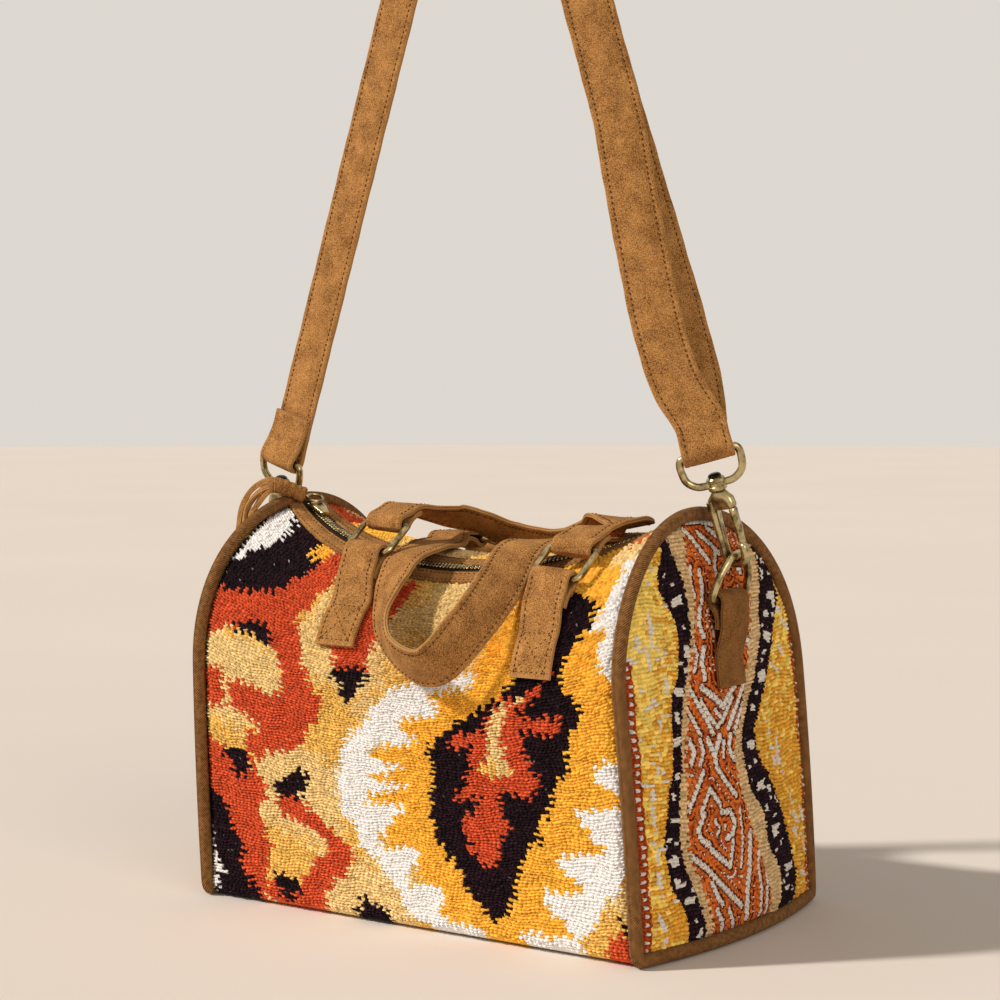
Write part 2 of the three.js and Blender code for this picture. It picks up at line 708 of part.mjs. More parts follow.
function strapTab(tab) {
  const { rise, outward } = tabDirections(tab.side);
  const { bar, axis } = ringFrame(tab);
  const loop = sewnLoop(bar, axis, rise.clone().negate(), outward, RING_WIRE, STUB_LENGTH);
  const sewn = [1, 0.75, 0.5, 0.25, 0].map((share) => {
    const z = TAB_BOTTOM + tab.lift + (TAB_LEAVE - TAB_BOTTOM) * share;
    return [wallPoint(tab.x, tab.side, z, SEWN_OUT), wallAcross(tab.x, tab.side, z)];
  });
  return suede(`${tab.name}_tab`, ribbon([...loop, ...sewn], HAND_STRAP_WIDTH, STRAP_WALL));
}

// Corner-rounded closed path of a rectangle.
function roundedRectangle(origin, across, up, width, height, radius) {
  const corners = [[-1, 0, 180], [1, 0, 270], [1, 1, 0], [-1, 1, 90]];
  return corners.flatMap(([w, h, start]) => [0, 30, 60, 90].map((turn) => {
    const angle = ((start + turn) * Math.PI) / 180;
    const a = w * (width / 2 - radius) + radius * Math.cos(angle);
    const b = h ? height - radius : radius;
    return offset(origin, [across, a], [up, b + radius * Math.sin(angle)]);
  }));
}

function strapRing(tab) {
  const { bar, axis, up } = ringFrame(tab);
  const width = RING_INNER_WIDTH + RING_WIRE;
  const path = roundedRectangle(bar, axis, up, width, RING_PITCH, RING_WIRE);
  return brass(`${tab.name}_ring`, wire(path, axis.clone().cross(up).normalize(), RING_WIRE, true));
}

// Hand strap: sewn round the top bars of its two rings, along its route between them.
function handStrap(name, side, leave, outward, route) {
  const [left, right] = TABS.filter((tab) => tab.side === side).map(ringFrame);
  const back = right.axis.clone().negate();
  const start = sewnLoop(left.top, left.axis, leave, outward, RING_WIRE, STUB_LENGTH);
  const finish = sewnLoop(right.top, back, leave, outward, RING_WIRE, STUB_LENGTH).reverse();
  const crown = zipPoint(0).y + ZIP_FORWARD;
  const stops = route.map(({ along, behind, below, clear, across, lie }) => {
    const x = left.top.x + along;
    if (below) return [wallPoint(x, -1, END_HEIGHT - below, clear), vec(...across)];
    const point = topPoint(x, crown + behind, clear);
    return [point, lie ? topAcross(x, crown + behind).multiplyScalar(lie) : vec(...across)];
  });
  return suede(name, ribbon([...start, ...stops, ...finish], HAND_STRAP_WIDTH, STRAP_WALL));
}

// The front strap is thrown back over the crown, the back strap forward, where its loop hangs.
function frontHandStrap() {
  const leave = vec(0, Math.cos(FRONT_STRAP_CLIMB), Math.sin(FRONT_STRAP_CLIMB));
  const outward = vec(0, -Math.sin(FRONT_STRAP_CLIMB), Math.cos(FRONT_STRAP_CLIMB));
  return handStrap('front_hand_strap', -1, leave, outward, FRONT_STRAP_ROUTE);
}

function backHandStrap() {
  const leave = vec(0, -Math.cos(BACK_STRAP_CLIMB), Math.sin(BACK_STRAP_CLIMB));
  const outward = vec(0, Math.sin(BACK_STRAP_CLIMB), Math.cos(BACK_STRAP_CLIMB));
  return handStrap('back_hand_strap', 1, leave, outward, BACK_STRAP_ROUTE);
}

// End tabs with their D-rings
const ENDS = [
  { name: 'left', side: -1, drop: LEFT_END_DROP, hookLean: vec(0.27, -0.3, 1) },
  { name: 'right', side: 1, drop: 0, hookLean: vec(-0.16, -0.28, 1) },
];

function endWall(end, z, out) {
  const wall = placeInSection(HALF_LENGTH, new THREE.Vector2(END_TAB_Y, z));
  return vec(end.side * (wall.x + out), END_TAB_Y, z);
}

function endTabFrame(end) {
  const across = vec(0, end.side, 0);
  const bar = endWall(end, END_TAB_TOP - end.drop, END_TAB_STANDOFF);
  const ringUp = vec(end.side * D_RING_LEAN, 0, 1).normalize();
  return { across, bar, ringUp };
}

function endTab(end) {
  const { across, bar } = endTabFrame(end);
  const down = vec(0, 0, -1);
  const outward = vec(end.side, 0, 0);
  const loop = sewnLoop(bar, across, down, outward, D_RING_WIRE, STUB_LENGTH);
  const sewnTop = END_TAB_TOP - end.drop - 2 * STUB_LENGTH;
  const bottom = END_TAB_BOTTOM - end.drop;
  const sewn = [sewnTop, (sewnTop + bottom) / 2, bottom].map((z) => [endWall(end, z, SEWN_OUT), across]);
  return suede(`${end.name}_end_tab`, ribbon([...loop, ...sewn], SHOULDER_STRAP_WIDTH, STRAP_WALL));
}

function dRingPath(end, share) {
  const { across, bar, ringUp } = endTabFrame(end);
  const half = (D_RING_INNER_WIDTH + D_RING_WIRE) / 2;
  const angle = share * Math.PI;
  const rise = D_RING_FOOT + D_RING_HEIGHT * Math.sin(angle);
  return offset(bar, [across, half * Math.cos(angle)], [ringUp, rise]);
}

function dRing(end) {
  const { across, bar, ringUp } = endTabFrame(end);
  const half = (D_RING_INNER_WIDTH + D_RING_WIRE) / 2;
  const arc = Array.from({ length: 15 }, (_, k) => dRingPath(end, k / 14));
  const corner = half - D_RING_FOOT;
  const points = [...arc, offset(bar, [across, -corner]), offset(bar, [across, corner])];
  const normal = across.clone().cross(ringUp).normalize();
  return brass(`${end.name}_d_ring`, wire(points, normal, D_RING_WIRE, true));
}

// Frame of a snap hook: the D-ring's wire at its foot, its axis, and the plane of its eye.
function hookFrame(end) {
  const axis = end.hookLean.clone().normalize();
  const { across, ringUp } = endTabFrame(end);
  const half = (D_RING_INNER_WIDTH + D_RING_WIRE) / 2;
  const pull = Math.atan2(axis.dot(ringUp) * D_RING_HEIGHT, axis.dot(across) * half);
  const foot = dRingPath(end, pull / Math.PI);
  const ringRun = across.clone().multiplyScalar(-half * Math.sin(pull));
  ringRun.addScaledVector(ringUp, D_RING_HEIGHT * Math.cos(pull));
  const out = ringRun.cross(axis).normalize();
  if (out.x * end.side < 0) out.negate();
  const thick = axis.clone().cross(out).normalize();
  return { axis, foot, out, thick };
}

const HOOK_BOTTOM = D_RING_WIRE / 2 + LOOP_GAP + HOOK_WIRE / 2;
const NOSE_TOP = HOOK_EYE_HALF;
const HEAD_BOTTOM = HOOK_SPINE;
const COLLAR_BOTTOM = HEAD_BOTTOM + HOOK_HEAD_HEIGHT + SEAM_GAP;
const RIVET_BOTTOM = COLLAR_BOTTOM + COLLAR_HEIGHT + SEAM_GAP;
const LOOP_BAR = COLLAR_BOTTOM + COLLAR_HEIGHT / 2 + LOOP_RISE;
const GATE_TOP = HEAD_BOTTOM - GATE_GAP;

// Turns geometry built about +Y into a hook's axis and moves it up that axis.
function aboutAxis(geometry, frame, height) {
  const basis = new THREE.Matrix4().makeBasis(frame.out, frame.axis, frame.thick.clone().negate());
  basis.setPosition(offset(frame.foot, [frame.axis, height]));
  return geometry.applyMatrix4(basis);
}

function hookBody(end) {
  const frame = hookFrame(end);
  const at = (u, w) => offset(frame.foot, [frame.out, u], [frame.axis, w]);
  const bow = Array.from({ length: 9 }, (_, k) => {
    const angle = Math.PI + (k / 8) * Math.PI;
    return at(HOOK_EYE_HALF * Math.cos(angle), HOOK_BOTTOM * Math.sin(angle));
  });
  const spine = at(-HOOK_EYE_HALF, HOOK_SPINE + HOOK_HEAD_HEIGHT / 2);
  const path = [spine, at(-HOOK_EYE_HALF, HOOK_SPINE / 2), ...bow, at(HOOK_EYE_HALF, NOSE_TOP)];
  const bowSolid = toSolid(wire(path, frame.thick, HOOK_WIRE, false));
  const headBox = new THREE.BoxGeometry(HOOK_HEAD_WIDTH, HOOK_HEAD_HEIGHT, HOOK_HEAD_DEPTH);
  const head = toSolid(aboutAxis(headBox, frame, HEAD_BOTTOM + HOOK_HEAD_HEIGHT / 2));
  const shankLength = RIVET_BOTTOM - HEAD_BOTTOM;
  const shankRadius = SHANK_DIAMETER / 2;
  const shankRod = new THREE.CylinderGeometry(shankRadius, shankRadius, shankLength, ROD_SIDES);
  const shank = toSolid(aboutAxis(shankRod, frame, HEAD_BOTTOM + shankLength / 2 + RIVET_HEIGHT / 2));
  const rivetTop = RIVET_TOP_DIAMETER / 2;
  const rivetRod = new THREE.CylinderGeometry(rivetTop, RIVET_DIAMETER / 2, RIVET_HEIGHT, ROD_SIDES);
  const rivet = toSolid(aboutAxis(rivetRod, frame, RIVET_BOTTOM + RIVET_HEIGHT / 2));
  return brass(`${end.name}_hook`, fromSolid(bowSolid.add(head).add(shank).add(rivet)));
}

function hookGate(end) {
  const frame = hookFrame(end);
  const at = (w) => offset(frame.foot, [frame.out, HOOK_EYE_HALF], [frame.axis, w]);
  const points = [at(NOSE_TOP + GATE_GAP / 2), at((NOSE_TOP + GATE_TOP) / 2), at(GATE_TOP)];
  return brass(`${end.name}_hook_gate`, wire(points, frame.thick, GATE_WIRE, false));
}

const APEX = vec(APEX_X, -TOP_LEAN, STRAP_APEX_HEIGHT);

function loopBar(end) {
  const frame = hookFrame(end);
  return offset(frame.foot, [frame.axis, LOOP_BAR]);
}

function strapRun(end) {
  return APEX.clone().sub(loopBar(end)).normalize();
}

// Direction of a strap loop's bar: square to the hook's axis and to the strap's run.
function loopAcross(end) {
  const across = hookFrame(end).axis.cross(strapRun(end)).normalize();
  return across.x < 0 ? across.negate() : across;
}

function strapLoop(end) {
  const frame = hookFrame(end);
  const across = loopAcross(end);
  const half = (SHOULDER_STRAP_WIDTH + LOOP_WIRE) / 2 + SEAM_GAP;
  const start = COLLAR_BOTTOM + COLLAR_HEIGHT / 2;
  const ends = (SHANK_DIAMETER + COLLAR_DIAMETER) / 4;
  const at = (a, w) => offset(frame.foot, [across, a], [frame.axis, start + w]);
  // From the collar out to the side, up it and round the corner to the bar
  const rightHalf = [[ends, 0], [half * 0.62, 0.8], [half * 0.92, 5], [half, 10], [half, LOOP_RISE - 3]];
  const corner = [[half - 1, LOOP_RISE - 1], [half - 3, LOOP_RISE]];
  const halfPath = [...rightHalf, ...corner];
  const path = [...halfPath, ...halfPath.map(([a, w]) => [-a, w]).reverse()];
  const normal = across.clone().cross(frame.axis).normalize();
  const bow = toSolid(wire(path.map(([a, w]) => at(a, w)), normal, LOOP_WIRE, false));
  const bore = SHANK_DIAMETER / 2 + SEAM_GAP;
  const outer = COLLAR_DIAMETER / 2;
  const profile = [[bore, 0], [outer, 0], [outer, COLLAR_HEIGHT], [bore, COLLAR_HEIGHT], [bore, 0]];
  const ringShape = new THREE.LatheGeometry(profile.map(([r, h]) => new THREE.Vector2(r, h)), ROD_SIDES);
  const collar = toSolid(aboutAxis(ringShape, frame, COLLAR_BOTTOM));
  return brass(`${end.name}_strap_loop`, fromSolid(collar.add(bow)));
}

// Shoulder strap: sewn round the left loop, up over its highest point, and down round the right loop
const STRAP_LOOP_RADIUS = LOOP_WIRE / 2 + LOOP_GAP + STRAP_WALL / 2;

// Frame of one leg of the strap: where it starts, how it runs, its width and its face.
function legFrame(end) {
  const bar = loopBar(end);
  const leave = strapRun(end);
  const across = loopAcross(end);
  const out = across.clone().cross(leave).normalize();
  if (out.y * end.side > 0) out.negate();
  const length = APEX.distanceTo(bar) - 3 * STRAP_APEX_RADIUS;
  return { bar, leave, across, out, length };
}

function legPoint(leg, share, depth) {
  return offset(leg.bar, [leg.leave, leg.length * share], [leg.out, depth]);
}

function shoulderStrap() {
  const [left, right] = ENDS.map(legFrame);
  const start = sewnLoop(left.bar, left.across, left.leave, left.out, LOOP_WIRE, STRAP_FOLD_LENGTH);
  const finish = sewnLoop(right.bar, right.across, right.leave, right.out, LOOP_WIRE, STUB_LENGTH).reverse();
  const depthwise = vec(0, 1, 0);
  const leg = (frame, share) => {
    const turn = THREE.MathUtils.smoothstep(share, ADJUSTER_SHARE + 0.1, 1);
    return [legPoint(frame, share, STRAP_LOOP_RADIUS), frame.across.clone().lerp(depthwise, turn)];
  };
  const shares = [0.2, 0.45, ADJUSTER_SHARE, 0.82, 0.92, 1];
  const beside = STRAP_APEX_RADIUS * 0.75;
  const below = -STRAP_APEX_RADIUS;
  const stops = [
    ...start,
    ...shares.map((share) => leg(left, share)),
    [offset(APEX, [ALONG, -beside], [UP, below]), depthwise],
    [APEX.clone(), depthwise],
    [offset(APEX, [ALONG, beside], [UP, below]), depthwise],
    ...shares.toReversed().map((share) => leg(right, share)),
    ...finish,
  ];
  return suede('shoulder_strap', ribbon(stops, SHOULDER_STRAP_WIDTH, STRAP_WALL));
}

// Doubled part: from the right loop back up behind the strap to the adjuster's middle bar
const ADJUSTER_BAR_DEPTH = -(STRAP_WALL / 2 + 2 * LOOP_GAP + STRAP_WALL + ADJUSTER_WIRE / 2);

function adjusterBar(leg) {
  return legPoint(leg, ADJUSTER_SHARE, STRAP_LOOP_RADIUS + ADJUSTER_BAR_DEPTH);
}

function strapReturn() {
  const leg = legFrame(ENDS[1]);
  const under = STRAP_LOOP_RADIUS - STRAP_WALL - LOOP_GAP;
  const down = leg.leave.clone().negate();
  const behind = leg.out.clone().negate();
  const foot = offset(leg.bar, [leg.leave, STUB_LENGTH + SEAM_GAP], [leg.out, under]);
  const loop = sewnLoop(adjusterBar(leg), leg.across, down, behind, ADJUSTER_WIRE, STUB_LENGTH);
  const lowest = offset(foot, [leg.leave, STUB_LENGTH]);
  const middle = legPoint(leg, ADJUSTER_SHARE / 2, under - 2 * LOOP_GAP);
  const stops = [...loop, ...[middle, lowest, foot].map((point) => [point, leg.across])];
  return suede('strap_return', ribbon(stops, SHOULDER_STRAP_WIDTH, STRAP_WALL));
}

// Adjuster: outer bars in front of the strap, middle bar behind it, joined by bent sides.
function strapAdjuster() {
  const leg = legFrame(ENDS[1]);
  const half = SHOULDER_STRAP_WIDTH / 2 + ADJUSTER_WIRE / 2 + ADJUSTER_SPARE;
  const front = STRAP_WALL / 2 + LOOP_GAP + ADJUSTER_WIRE / 2;
  const at = (a, t, n) => offset(
    legPoint(leg, ADJUSTER_SHARE, STRAP_LOOP_RADIUS),
    [leg.across, a],
    [leg.leave, t],
    [leg.out, n],
  );
  const bars = [[-ADJUSTER_PITCH, front], [0, ADJUSTER_BAR_DEPTH], [ADJUSTER_PITCH, front]];
  const bar = (t, n) => wire([at(-half, t, n), at(half, t, n)], leg.leave, ADJUSTER_WIRE, false);
  const pieces = bars.map(([t, n]) => bar(t, n));
  for (const side of [-half, half]) {
    const path = bars.map(([t, n]) => at(side, t, n));
    pieces.push(wire(path, leg.across, ADJUSTER_WIRE, false));
  }
  const solid = pieces.map(toSolid).reduce((sum, piece) => sum.add(piece));
  return brass('strap_adjuster', fromSolid(solid));
}

const bag = new THREE.Group();
bag.add(bodyPanel(), lining(), baseBoard());
for (const [name, side] of [['left', -1], ['right', 1]]) {
  bag.add(endPanel(`${name}_end_panel`, side), piping(`${name}_piping`, side));
}
for (const [name, side] of [['front', -1], ['back', 1]]) {
  bag.add(zipFacing(`${name}_zip_facing`, side), zipTape(`${name}_zip_tape`, side));
}
bag.add(zipSlider(), pullRing(), tassel());
for (const tab of TABS) bag.add(strapTab(tab), strapRing(tab));
bag.add(frontHandStrap(), backHandStrap());
for (const end of ENDS) {
  bag.add(endTab(end), dRing(end), hookBody(end), hookGate(end), strapLoop(end));
}
bag.add(shoulderStrap(), strapReturn(), strapAdjuster());

export default bag;
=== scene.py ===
"""Looks of a woven boston bag with suede trim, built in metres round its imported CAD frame."""

import logging
import math
from dataclasses import dataclass
from enum import Enum, IntEnum
from typing import Callable, Mapping, NamedTuple, Sequence

import bpy
import numpy as np
from mathutils import Matrix, Vector


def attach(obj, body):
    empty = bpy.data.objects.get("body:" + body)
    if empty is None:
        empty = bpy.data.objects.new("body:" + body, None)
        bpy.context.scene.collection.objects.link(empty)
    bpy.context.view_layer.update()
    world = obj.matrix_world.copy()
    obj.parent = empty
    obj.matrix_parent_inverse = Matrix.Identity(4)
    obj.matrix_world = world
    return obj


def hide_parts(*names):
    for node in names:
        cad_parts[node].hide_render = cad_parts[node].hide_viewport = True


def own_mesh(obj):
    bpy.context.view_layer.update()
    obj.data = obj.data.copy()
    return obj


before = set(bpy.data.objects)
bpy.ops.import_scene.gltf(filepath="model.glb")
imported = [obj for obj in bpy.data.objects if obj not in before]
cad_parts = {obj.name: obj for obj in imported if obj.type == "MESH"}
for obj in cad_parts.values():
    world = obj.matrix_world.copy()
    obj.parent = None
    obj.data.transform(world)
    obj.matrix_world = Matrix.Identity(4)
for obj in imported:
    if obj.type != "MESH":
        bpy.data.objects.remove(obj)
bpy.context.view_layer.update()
LOG = logging.getLogger("boston_bag")
MM = 0.001
Points = np.ndarray
Stop = tuple[Points, Points]
Piece = bpy.types.Object
Material = bpy.types.Material
Socket = bpy.types.NodeSocket


def linear(code: str) -> tuple[float, float, float, float]:
    """Turn an sRGB hex colour into a linear one.

    Args:
        code: Six hex digits.

    Returns:
        Linear red, green, blue and an alpha of 1.
    """
    channels = [int(code[i:i + 2], 16) / 255 for i in (0, 2, 4)]
    low, high = 0.04045, 2.4
    return (*[c / 12.92 if c <= low else ((c + 0.055) / 1.055) ** high for c in channels], 1.0)


def unit(vector: Sequence[float]) -> Points:
    """Scale a vector, or each row of an array of vectors, to length 1."""
    array = np.asarray(vector, float)
    return array / np.linalg.norm(array, axis=-1, keepdims=True)


def square_to(direction: Sequence[float], axis: Points) -> Points:
    """Give the unit vector near a direction and square to an axis."""
    array = np.asarray(direction, float)
    return unit(array - axis * np.dot(array, axis))


def smoothstep(values: Points, low: float, high: float) -> Points:
    """Rise smoothly from 0 at low to 1 at high."""
    share = np.clip((np.asarray(values, float) - low) / (high - low), 0, 1)
    return share * share * (3 - 2 * share)


def scatter(a: Points, b: Points, seed: float) -> Points:
    """Give a fixed number from 0 to 1 for each pair of whole numbers and a seed."""
    mixed = np.sin(np.asarray(a) * 12.9898 + np.asarray(b) * 78.233 + seed * 37.719) * 43758.5453
    return mixed - np.floor(mixed)


def circle(count: int) -> Points:
    """Give evenly spread angles of one full turn."""
    return np.arange(count) / count * 2 * np.pi


def blunt(wave: Points, power: float) -> Points:
    """Blunt a sine or cosine, so that a circle becomes a rounded box."""
    return np.sign(wave) * np.abs(wave) ** power


def distances(path: Points) -> Points:
    """Give the way gone along a path at each of its points."""
    return np.concatenate([[0], np.cumsum(np.linalg.norm(np.diff(path, axis=0), axis=1))])


def read_off(at: Points, along: Points, rows: Points) -> Points:
    """Read rows of numbers off at places between those where they are known."""
    return np.stack([np.interp(at, along, column) for column in rows.T], -1)


def inside(polygon: Sequence[tuple[float, float]], x: Points, y: Points) -> Points:
    """Say which points lie in a polygon.

    Args:
        polygon: Corners in order.
        x: First coordinates of the points.
        y: Second coordinates of the points.

    Returns:
        True for each point inside.
    """
    found = np.zeros(np.shape(x), bool)
    corners = list(polygon)
    for (x0, y0), (x1, y1) in zip(corners, corners[1:] + corners[:1]):
        if y0 == y1:
            continue
        crosses = (y0 > y) != (y1 > y)
        found ^= crosses & (x < (x1 - x0) * (y - y0) / (y1 - y0) + x0)
    return found


def only(*pieces: Piece) -> None:
    """Select pieces and nothing else, with the first one active.

    Args:
        pieces: The pieces.
    """
    bpy.ops.object.select_all(action="DESELECT")
    for piece in pieces:
        piece.select_set(True)
    bpy.context.view_layer.objects.active = pieces[0]


def join(name: str, *pieces: Piece) -> Piece:
    """Join pieces into one.

    Args:
        name: Name of the joined piece.
        pieces: The pieces; the first one stays.

    Returns:
        The joined piece.
    """
    only(*pieces)
    bpy.ops.object.join()
    pieces[0].name = name
    pieces[0].data.name = name
    return pieces[0]


def grid_piece(name: str, points: Points) -> Piece:
    """Add a grid and move its points.

    Args:
        name: Name of the piece.
        points: Rows of points in millimetres; the faces look along column run x row run.

    Returns:
        The new piece.
    """
    rows, columns = points.shape[0] - 1, points.shape[1] - 1
    bpy.ops.object.select_all(action="DESELECT")
    bpy.ops.mesh.primitive_grid_add(x_subdivisions=columns, y_subdivisions=rows, calc_uvs=False)
    piece = bpy.context.object
    piece.name = name
    piece.data.name = name
    piece.data.vertices.foreach_set("co", (points.reshape(-1, 3) * MM).astype(np.float32).ravel())
    piece.data.update()
    return piece


def mark(piece: Piece, name: str, values: Points) -> None:
    """Keep one number per point of a piece as a named attribute."""
    layer = piece.data.attributes.new(name, "FLOAT", "POINT")
    layer.data.foreach_set("value", np.asarray(values, np.float32).ravel())


def edit(piece: Piece, *steps: Callable[[], object]) -> None:
    """Run operators in edit mode, with all of one piece selected at first.

    Args:
        piece: The piece.
        steps: Calls to make in order.
    """
    only(piece)
    bpy.ops.object.mode_set(mode="EDIT")
    bpy.ops.mesh.select_all(action="SELECT")
    for step in steps:
        step()
    bpy.ops.object.mode_set(mode="OBJECT")


def weld() -> None:
    """Merge points that coincide."""
    bpy.ops.mesh.remove_doubles(threshold=1e-6)


def close_ends() -> None:
    """Fill the open ends of the piece in edit mode."""
    bpy.ops.mesh.select_all(action="SELECT")
    bpy.ops.mesh.fill_holes(sides=0)


def face_out() -> None:
    """Turn all faces of the piece in edit mode outwards."""
    bpy.ops.mesh.select_all(action="SELECT")
    bpy.ops.mesh.normals_make_consistent(inside=False)


def smooth(piece: Piece, angle: float = 40.0) -> None:
    """Shade a piece smooth, apart from edges sharper than an angle in degrees."""
    only(piece)
    bpy.ops.object.shade_smooth_by_angle(angle=math.radians(angle))


def loft(name: str, rings: Points, closed: bool = False,
         marks: Mapping[str, Points] | None = None) -> Piece:
    """Skin a row of closed rings.

    Args:
        name: Name of the piece.
        rings: Array of rings, points and coordinates, in millimetres.
        closed: Whether the last ring meets the first; else both ends are filled.
        marks: Attributes, one number for each point of the rings.

    Returns:
        The new piece, smooth and facing outwards.
    """
    def wrap(array: Points) -> Points:
        """Repeat the first point of each ring at its end, and the first ring if they meet."""
        turned = np.concatenate([array, array[:, :1]], axis=1)
        return np.concatenate([turned, turned[:1]], axis=0) if closed else turned

    piece = grid_piece(name, wrap(np.asarray(rings, float)))
    for key, values in (marks or {}).items():
        mark(piece, key, wrap(np.asarray(values, float)))
    steps = [weld, face_out] if closed else [weld, close_ends, face_out]
    edit(piece, *steps)
    smooth(piece)
    return piece


def tube(path: Points, radius: float | Points, sides: int, normal: Points, closed: bool = False,
         deep: float | Points = 1.0) -> Points:
    """Give the rings of a round or oval tube along a path.

    Args:
        path: Points in millimetres.
        radius: One radius, or one for each point.
        sides: Points round each ring.
        normal: A direction that is carried along, square to the path.
        closed: Whether the path meets itself.
        deep: How much deeper the section is along the normal, or one number for each point.

    Returns:
        Array of rings.
    """
    path = np.asarray(path, float)
    if closed:
        tangents = unit(np.roll(path, -1, 0) - np.roll(path, 1, 0))
    else:
        tangents = unit(np.gradient(path, axis=0))
    radii, depths = np.broadcast_to(radius, (len(path),)), np.broadcast_to(deep, (len(path),))
    carried = np.asarray(normal, float)
    turns = circle(sides)
    rings = []
    for point, tangent, size, depth in zip(path, tangents, radii, depths):
        carried = square_to(carried, tangent)
        other = np.cross(tangent, carried)
        ring = np.outer(np.cos(turns), other) + depth * np.outer(np.sin(turns), carried)
        rings.append(point + size * ring)
    return np.array(rings)


def spline(stops: Sequence[Points], per_span: int) -> Points:
    """Run a smooth curve through points.

    Args:
        stops: Points in order.
        per_span: Steps between two stops.

    Returns:
        Points of the centripetal curve.
    """
    given = np.asarray(stops, float)
    padded = np.vstack([2 * given[0] - given[1], given, 2 * given[-1] - given[-2]])
    t = np.arange(per_span)[:, None] / per_span
    curve = []
    for p0, p1, p2, p3 in zip(padded, padded[1:], padded[2:], padded[3:]):
        d0, d1, d2 = (max(np.linalg.norm(b - a), 1e-8) ** 0.5 for a, b in ((p0, p1), (p1, p2), (p2, p3)))
        m1 = d1 * ((p1 - p0) / d0 - (p2 - p0) / (d0 + d1) + (p2 - p1) / d1)
        m2 = d1 * ((p2 - p1) / d1 - (p3 - p1) / (d1 + d2) + (p3 - p2) / d2)
        square, cube = 3 * (p2 - p1) - 2 * m1 - m2, 2 * (p1 - p2) + m1 + m2
        curve.append(p1 + m1 * t + square * t ** 2 + cube * t ** 3)
    return np.vstack([*curve, given[-1:]])


def repeat(name: str, pattern: Piece, places: Sequence[Matrix]) -> Piece:
    """Copy one small modelled shape to many places in one piece, and remove the shape.

    Args:
        name: Name of the new piece.
        pattern: The shape, modelled once at the origin.
        places: A matrix in millimetres for each copy.

    Returns:
        The new piece.
    """
    source = pattern.data
    points = np.array([v.co for v in source.vertices], float)
    loops = [list(p.vertices) for p in source.polygons]
    turned = np.array(places, float)
    moved = np.einsum("nij,kj->nki", turned[:, :3, :3], points) + turned[:, None, :3, 3]
    count = len(points)
    faces = [[v + k * count for v in loop] for k in range(len(turned)) for loop in loops]
    mesh = bpy.data.meshes.new(name)
    mesh.from_pydata((moved.reshape(-1, 3) * MM).tolist(), [], faces)
    mesh.update()
    piece = bpy.data.objects.new(name, mesh)
    bpy.context.scene.collection.objects.link(piece)
    bpy.data.objects.remove(pattern)
    smooth(piece, 60)
    return piece


def pose(place: Points, x: Points, y: Points, z: Points) -> Matrix:
    """Make a matrix from a place and three directions.

    Args:
        place: Where the origin goes.
        x: Where the first axis points.
        y: Where the second axis points.
        z: Where the third axis points.

    Returns:
        The matrix.
    """
    made = Matrix.Identity(4)
    for column, vector in enumerate((x, y, z, place)):
        for row in range(3):
            made[row][column] = float(vector[row])
    return made


def settle(piece: Piece, body: str, finish: Material, stands_for: Sequence[str] = ()) -> Piece:
    """Dress a finished piece and join it to the frame.

    Args:
        piece: The finished piece.
        body: CAD body that it moves with.
        finish: Its material.
        stands_for: CAD nodes that it replaces.

    Returns:
        The same piece.
    """
    piece.data.materials.clear()
    piece.data.materials.append(finish)
    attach(piece, body)
    if stands_for:
        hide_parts(*stands_for)
    LOG.info("%s on %s, %d faces", piece.name, body, len(piece.data.polygons))
    return piece


def lead(tree: bpy.types.NodeTree, node: bpy.types.Node, inputs: Mapping[str | int, object]) -> None:
    """Set or link the inputs of a shader node.

    Args:
        tree: Node tree that holds the node.
        node: The node.
        inputs: Values to set, or sockets to link, by input name or number.
    """
    for key, value in inputs.items():
        if isinstance(value, Socket):
            tree.links.new(value, node.inputs[key])
        else:
            node.inputs[key].default_value = value


def add_node(tree: bpy.types.NodeTree, kind: str, inputs: Mapping[str | int, object],
             **settings: str) -> bpy.types.Node:
    """Add a shader node.

    Args:
        tree: Node tree of a material or a world.
        kind: Class name of the node, without its first part.
        inputs: Values to set, or sockets to link, by input name or number.
        settings: Properties to set first.

    Returns:
        The new node.
    """
    node = tree.nodes.new("ShaderNode" + kind)
    for key, value in settings.items():
        setattr(node, key, value)
    lead(tree, node, inputs)
    return node


